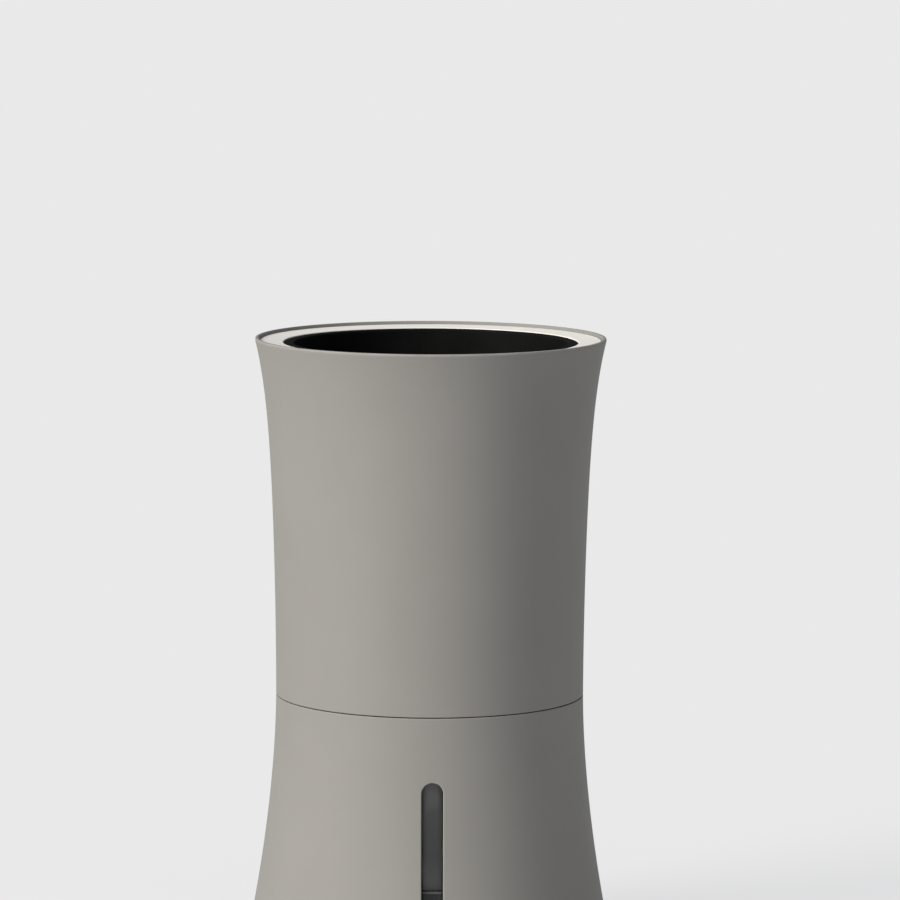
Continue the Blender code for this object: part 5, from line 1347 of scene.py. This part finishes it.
def makePump():
    radius, low, top = pump["radius"], pump["low"], pump["top"]
    rim, rimLow, rimTop = pump["flange"]
    grooveLow, grooveTop, deep = pump["groove"]
    (hollow, roof), (boss, bossLow), (bore, boreTop) = pump["cavity"], pump["boss"], pump["shaftHole"]
    corners = [
        (0.0, top), (radius, top, 1.6), (radius, grooveTop, 0.15), (radius - deep, grooveTop, 0.15),
        (radius - deep, grooveLow, 0.15), (radius, grooveLow, 0.15), (radius, rimTop, 0.4),
        (rim, rimTop, 0.4), (rim, rimLow, 0.4), (radius, rimLow, 0.3), (radius, low, 0.5), (hollow, low, 0.2),
        (hollow, roof), (boss, roof), (boss, bossLow), (bore, bossLow), (bore, boreTop), (0.0, boreTop),
    ]
    housing = turnOutline("pumpHousing", corners, 96)
    x, z, arm, knee = pump["nozzle"]
    start = pump["armStart"]
    fuse(
        housing,
        rodAlongX("nozzleArm", arm, (x - start) / 2, ((x + start) / 2, 0.0, z)),
        turnRod("nozzleKnee", knee, z - knee, z + knee, (x, 0.0), 0.8, 48),
        turnRod("nozzlePin", drip["pin"], z, pump["pinTop"], (x, 0.0), 0.2, 24),
    )
    finishPiece(housing, "mouldedDark", "pot", "pump_housing")


def makeStrainer():
    low, top, wall = pump["strainer"]
    radius, middle = pump["radius"], (low + top) / 2
    corners = [
        (0.0, low), (radius, low, 1.0), (radius, top, 0.3),
        (radius - wall, top, 0.2), (radius - wall, low + wall, 0.4), (0.0, low + wall),
    ]
    basket = turnOutline("strainerBasket", corners, 80)
    count, width, height = pump["slots"]
    inward, outward, edge = pump["slotReach"]
    near = (radius - inward, -width / 2, middle - height / 2)
    slot = makeBlock("strainerSlot", near, (radius + outward, width / 2, middle + height / 2), edge)
    turns = [fullTurn * (i + 0.5) / count for i in range(count)]
    cut(basket, joinAll("strainerSlots", [copyPiece(slot, "slotCopy", turn=turn) for turn in turns]))
    drop(slot)
    finishPiece(basket, "mouldedDark", "pot", "strainer")


def makeHanger():
    near, far, low, top = pump["ring"]
    corners = [(far, top, 0.4), (far, low, 0.4), (near, low, 0.3), (near, top, 0.3)]
    ring = turnOutline("pumpHanger", corners, 96)
    half, legNear, legFar, legTop = pump["leg"]
    wide, footNear, footFar, footLow, footTop = pump["legFoot"]
    edge = pump["legRound"]
    leg = makeBlock("hangerLeg", (-half, legNear, low + fit), (half, legFar, legTop), edge)
    foot = makeBlock("hangerFoot", (-wide, footNear, footLow), (wide, footFar, footTop), edge)
    for turn in (0.0, math.pi):
        fuse(ring, *[copyPiece(part, "hangerPart", turn=turn) for part in (leg, foot)])
    drop(leg, foot)
    cut(ring, rodsAt("hangerHoles", shankHole, *pump["legHole"], hangerSpots))
    finishPiece(ring, "mouldedDark", "pot", "pump_hanger")


hoses = {  # mm
    "tube": 2.5, "tubeWall": 0.8, "startZ": 34.5, "leanZ": 50.5, "uprightZ": 92.5, "bushTop": 105.6,
    "endZ": 214.0, "endStraight": 8.0, "step": 2.5,
    "lead": 1.2, "leadLow": 56.3, "leadStraight": 4.0, "leadY": 9.0, "leadBend": 5.0, "leadLevel": 114.5,
    "leadEnd": 26.75, "leadSteps": (24, 10),  # of the rise and the bend
    "neck": 1.0, "rim": 1.6, "rimThick": 1.0,
}


def tubeX(z):
    lean, upright, bushTop, cover = hoses["leanZ"], hoses["uprightZ"], hoses["bushTop"], deck["coverLow"]
    if z < upright:
        return ease(pump["nozzle"][0], deck["tubeX"], (z - lean) / (upright - lean))
    if z < cover:
        return ease(deck["tubeX"], potLedge["tubeX"], (z - bushTop) / (cover - bushTop))
    return betweenPots(min(max(z, casing["ledgeTop"]), hoses["endZ"] - hoses["endStraight"]))


def leadPath():
    (leadX, leadY), (rise, curve) = deck["leadSpot"], hoses["leadSteps"]
    low, high, straight = hoses["leadLow"], hoses["uprightZ"], hoses["leadStraight"]
    path = []
    for z in levels(low, high, rise):
        share = (z - low - straight) / (high - low - straight)
        path.append((ease(0.0, leadX, share), ease(hoses["leadY"], leadY, share), z))
    bend, level = hoses["leadBend"], hoses["leadLevel"]
    path.append((leadX, leadY, hoses["bushTop"]))
    for turn in levels(math.pi, math.pi / 2, curve):
        path.append((leadX, leadY + bend + bend * math.cos(turn), level - bend + bend * math.sin(turn)))
    return [*path, (leadX, hoses["leadEnd"], level)]


def makeHoses():
    start, end = hoses["startZ"], hoses["endZ"]
    heights = levels(start, end, math.ceil((end - start) / hoses["step"]))
    tube = runPipe("riserTube", [(tubeX(z), 0.0, z) for z in heights], hoses["tube"], hoses["tubeWall"])
    finishPiece(tube, "siliconeMilky", "pot", "riser_tube")
    finishPiece(runPipe("pumpLead", leadPath(), hoses["lead"]), "rubberBlack", "pot", "pump_lead")
    bushes = (
        ("tubeBush", hoses["tube"], deckTube, "tube_grommet"),
        ("leadBush", hoses["lead"], deck["leadSpot"], "lead_gland"),
    )
    top, under = deck["top"] + fit, potLow - fit
    high, low = top + hoses["rimThick"], under - hoses["rimThick"]
    for name, size, spot, node in bushes:
        bore = size + fit
        neck, rim = bore + hoses["neck"], bore + hoses["neck"] + hoses["rim"]
        corners = [
            (rim, high, 0.4), (rim, top, 0.2), (neck, top), (neck, under),
            (rim, under, 0.2), (rim, low, 0.4), (bore, low, 0.3), (bore, high, 0.3),
        ]
        finishPiece(turnOutline(name, corners, 48, spot), "rubberBlack", "pot", node)


makePump()
makeStrainer()
makeHanger()
makeHoses()
print("pump and hoses made")

# the CAD nodes that stay

stays = {
    "rubberBlack": ("base_gasket", "window_gasket", "deck_seal", "cover_gasket"),
    "guideGrey": ("float_guide",),
    "mouldedDark": ("drain_screen", "volute_cover"),
    "whitePlastic": ("lead_plug", "led_chip", "switch_plunger", "impeller"),
    "steelBright": ("board_screw_1", "board_screw_2", "pump_shaft", "supply_capacitor"),
    "boardGreen": ("control_board",),
    "chipBlack": ("timer_chip", "button_switch"),
    "magnetDark": ("rotor_magnet",),
    "windingCopper": ("pump_stator",),
}
for finish, names in stays.items():
    for name in names:
        dress(nodes[name], finish)
print("CAD nodes finished:", sum(len(names) for names in stays.values()))

clearPicks()
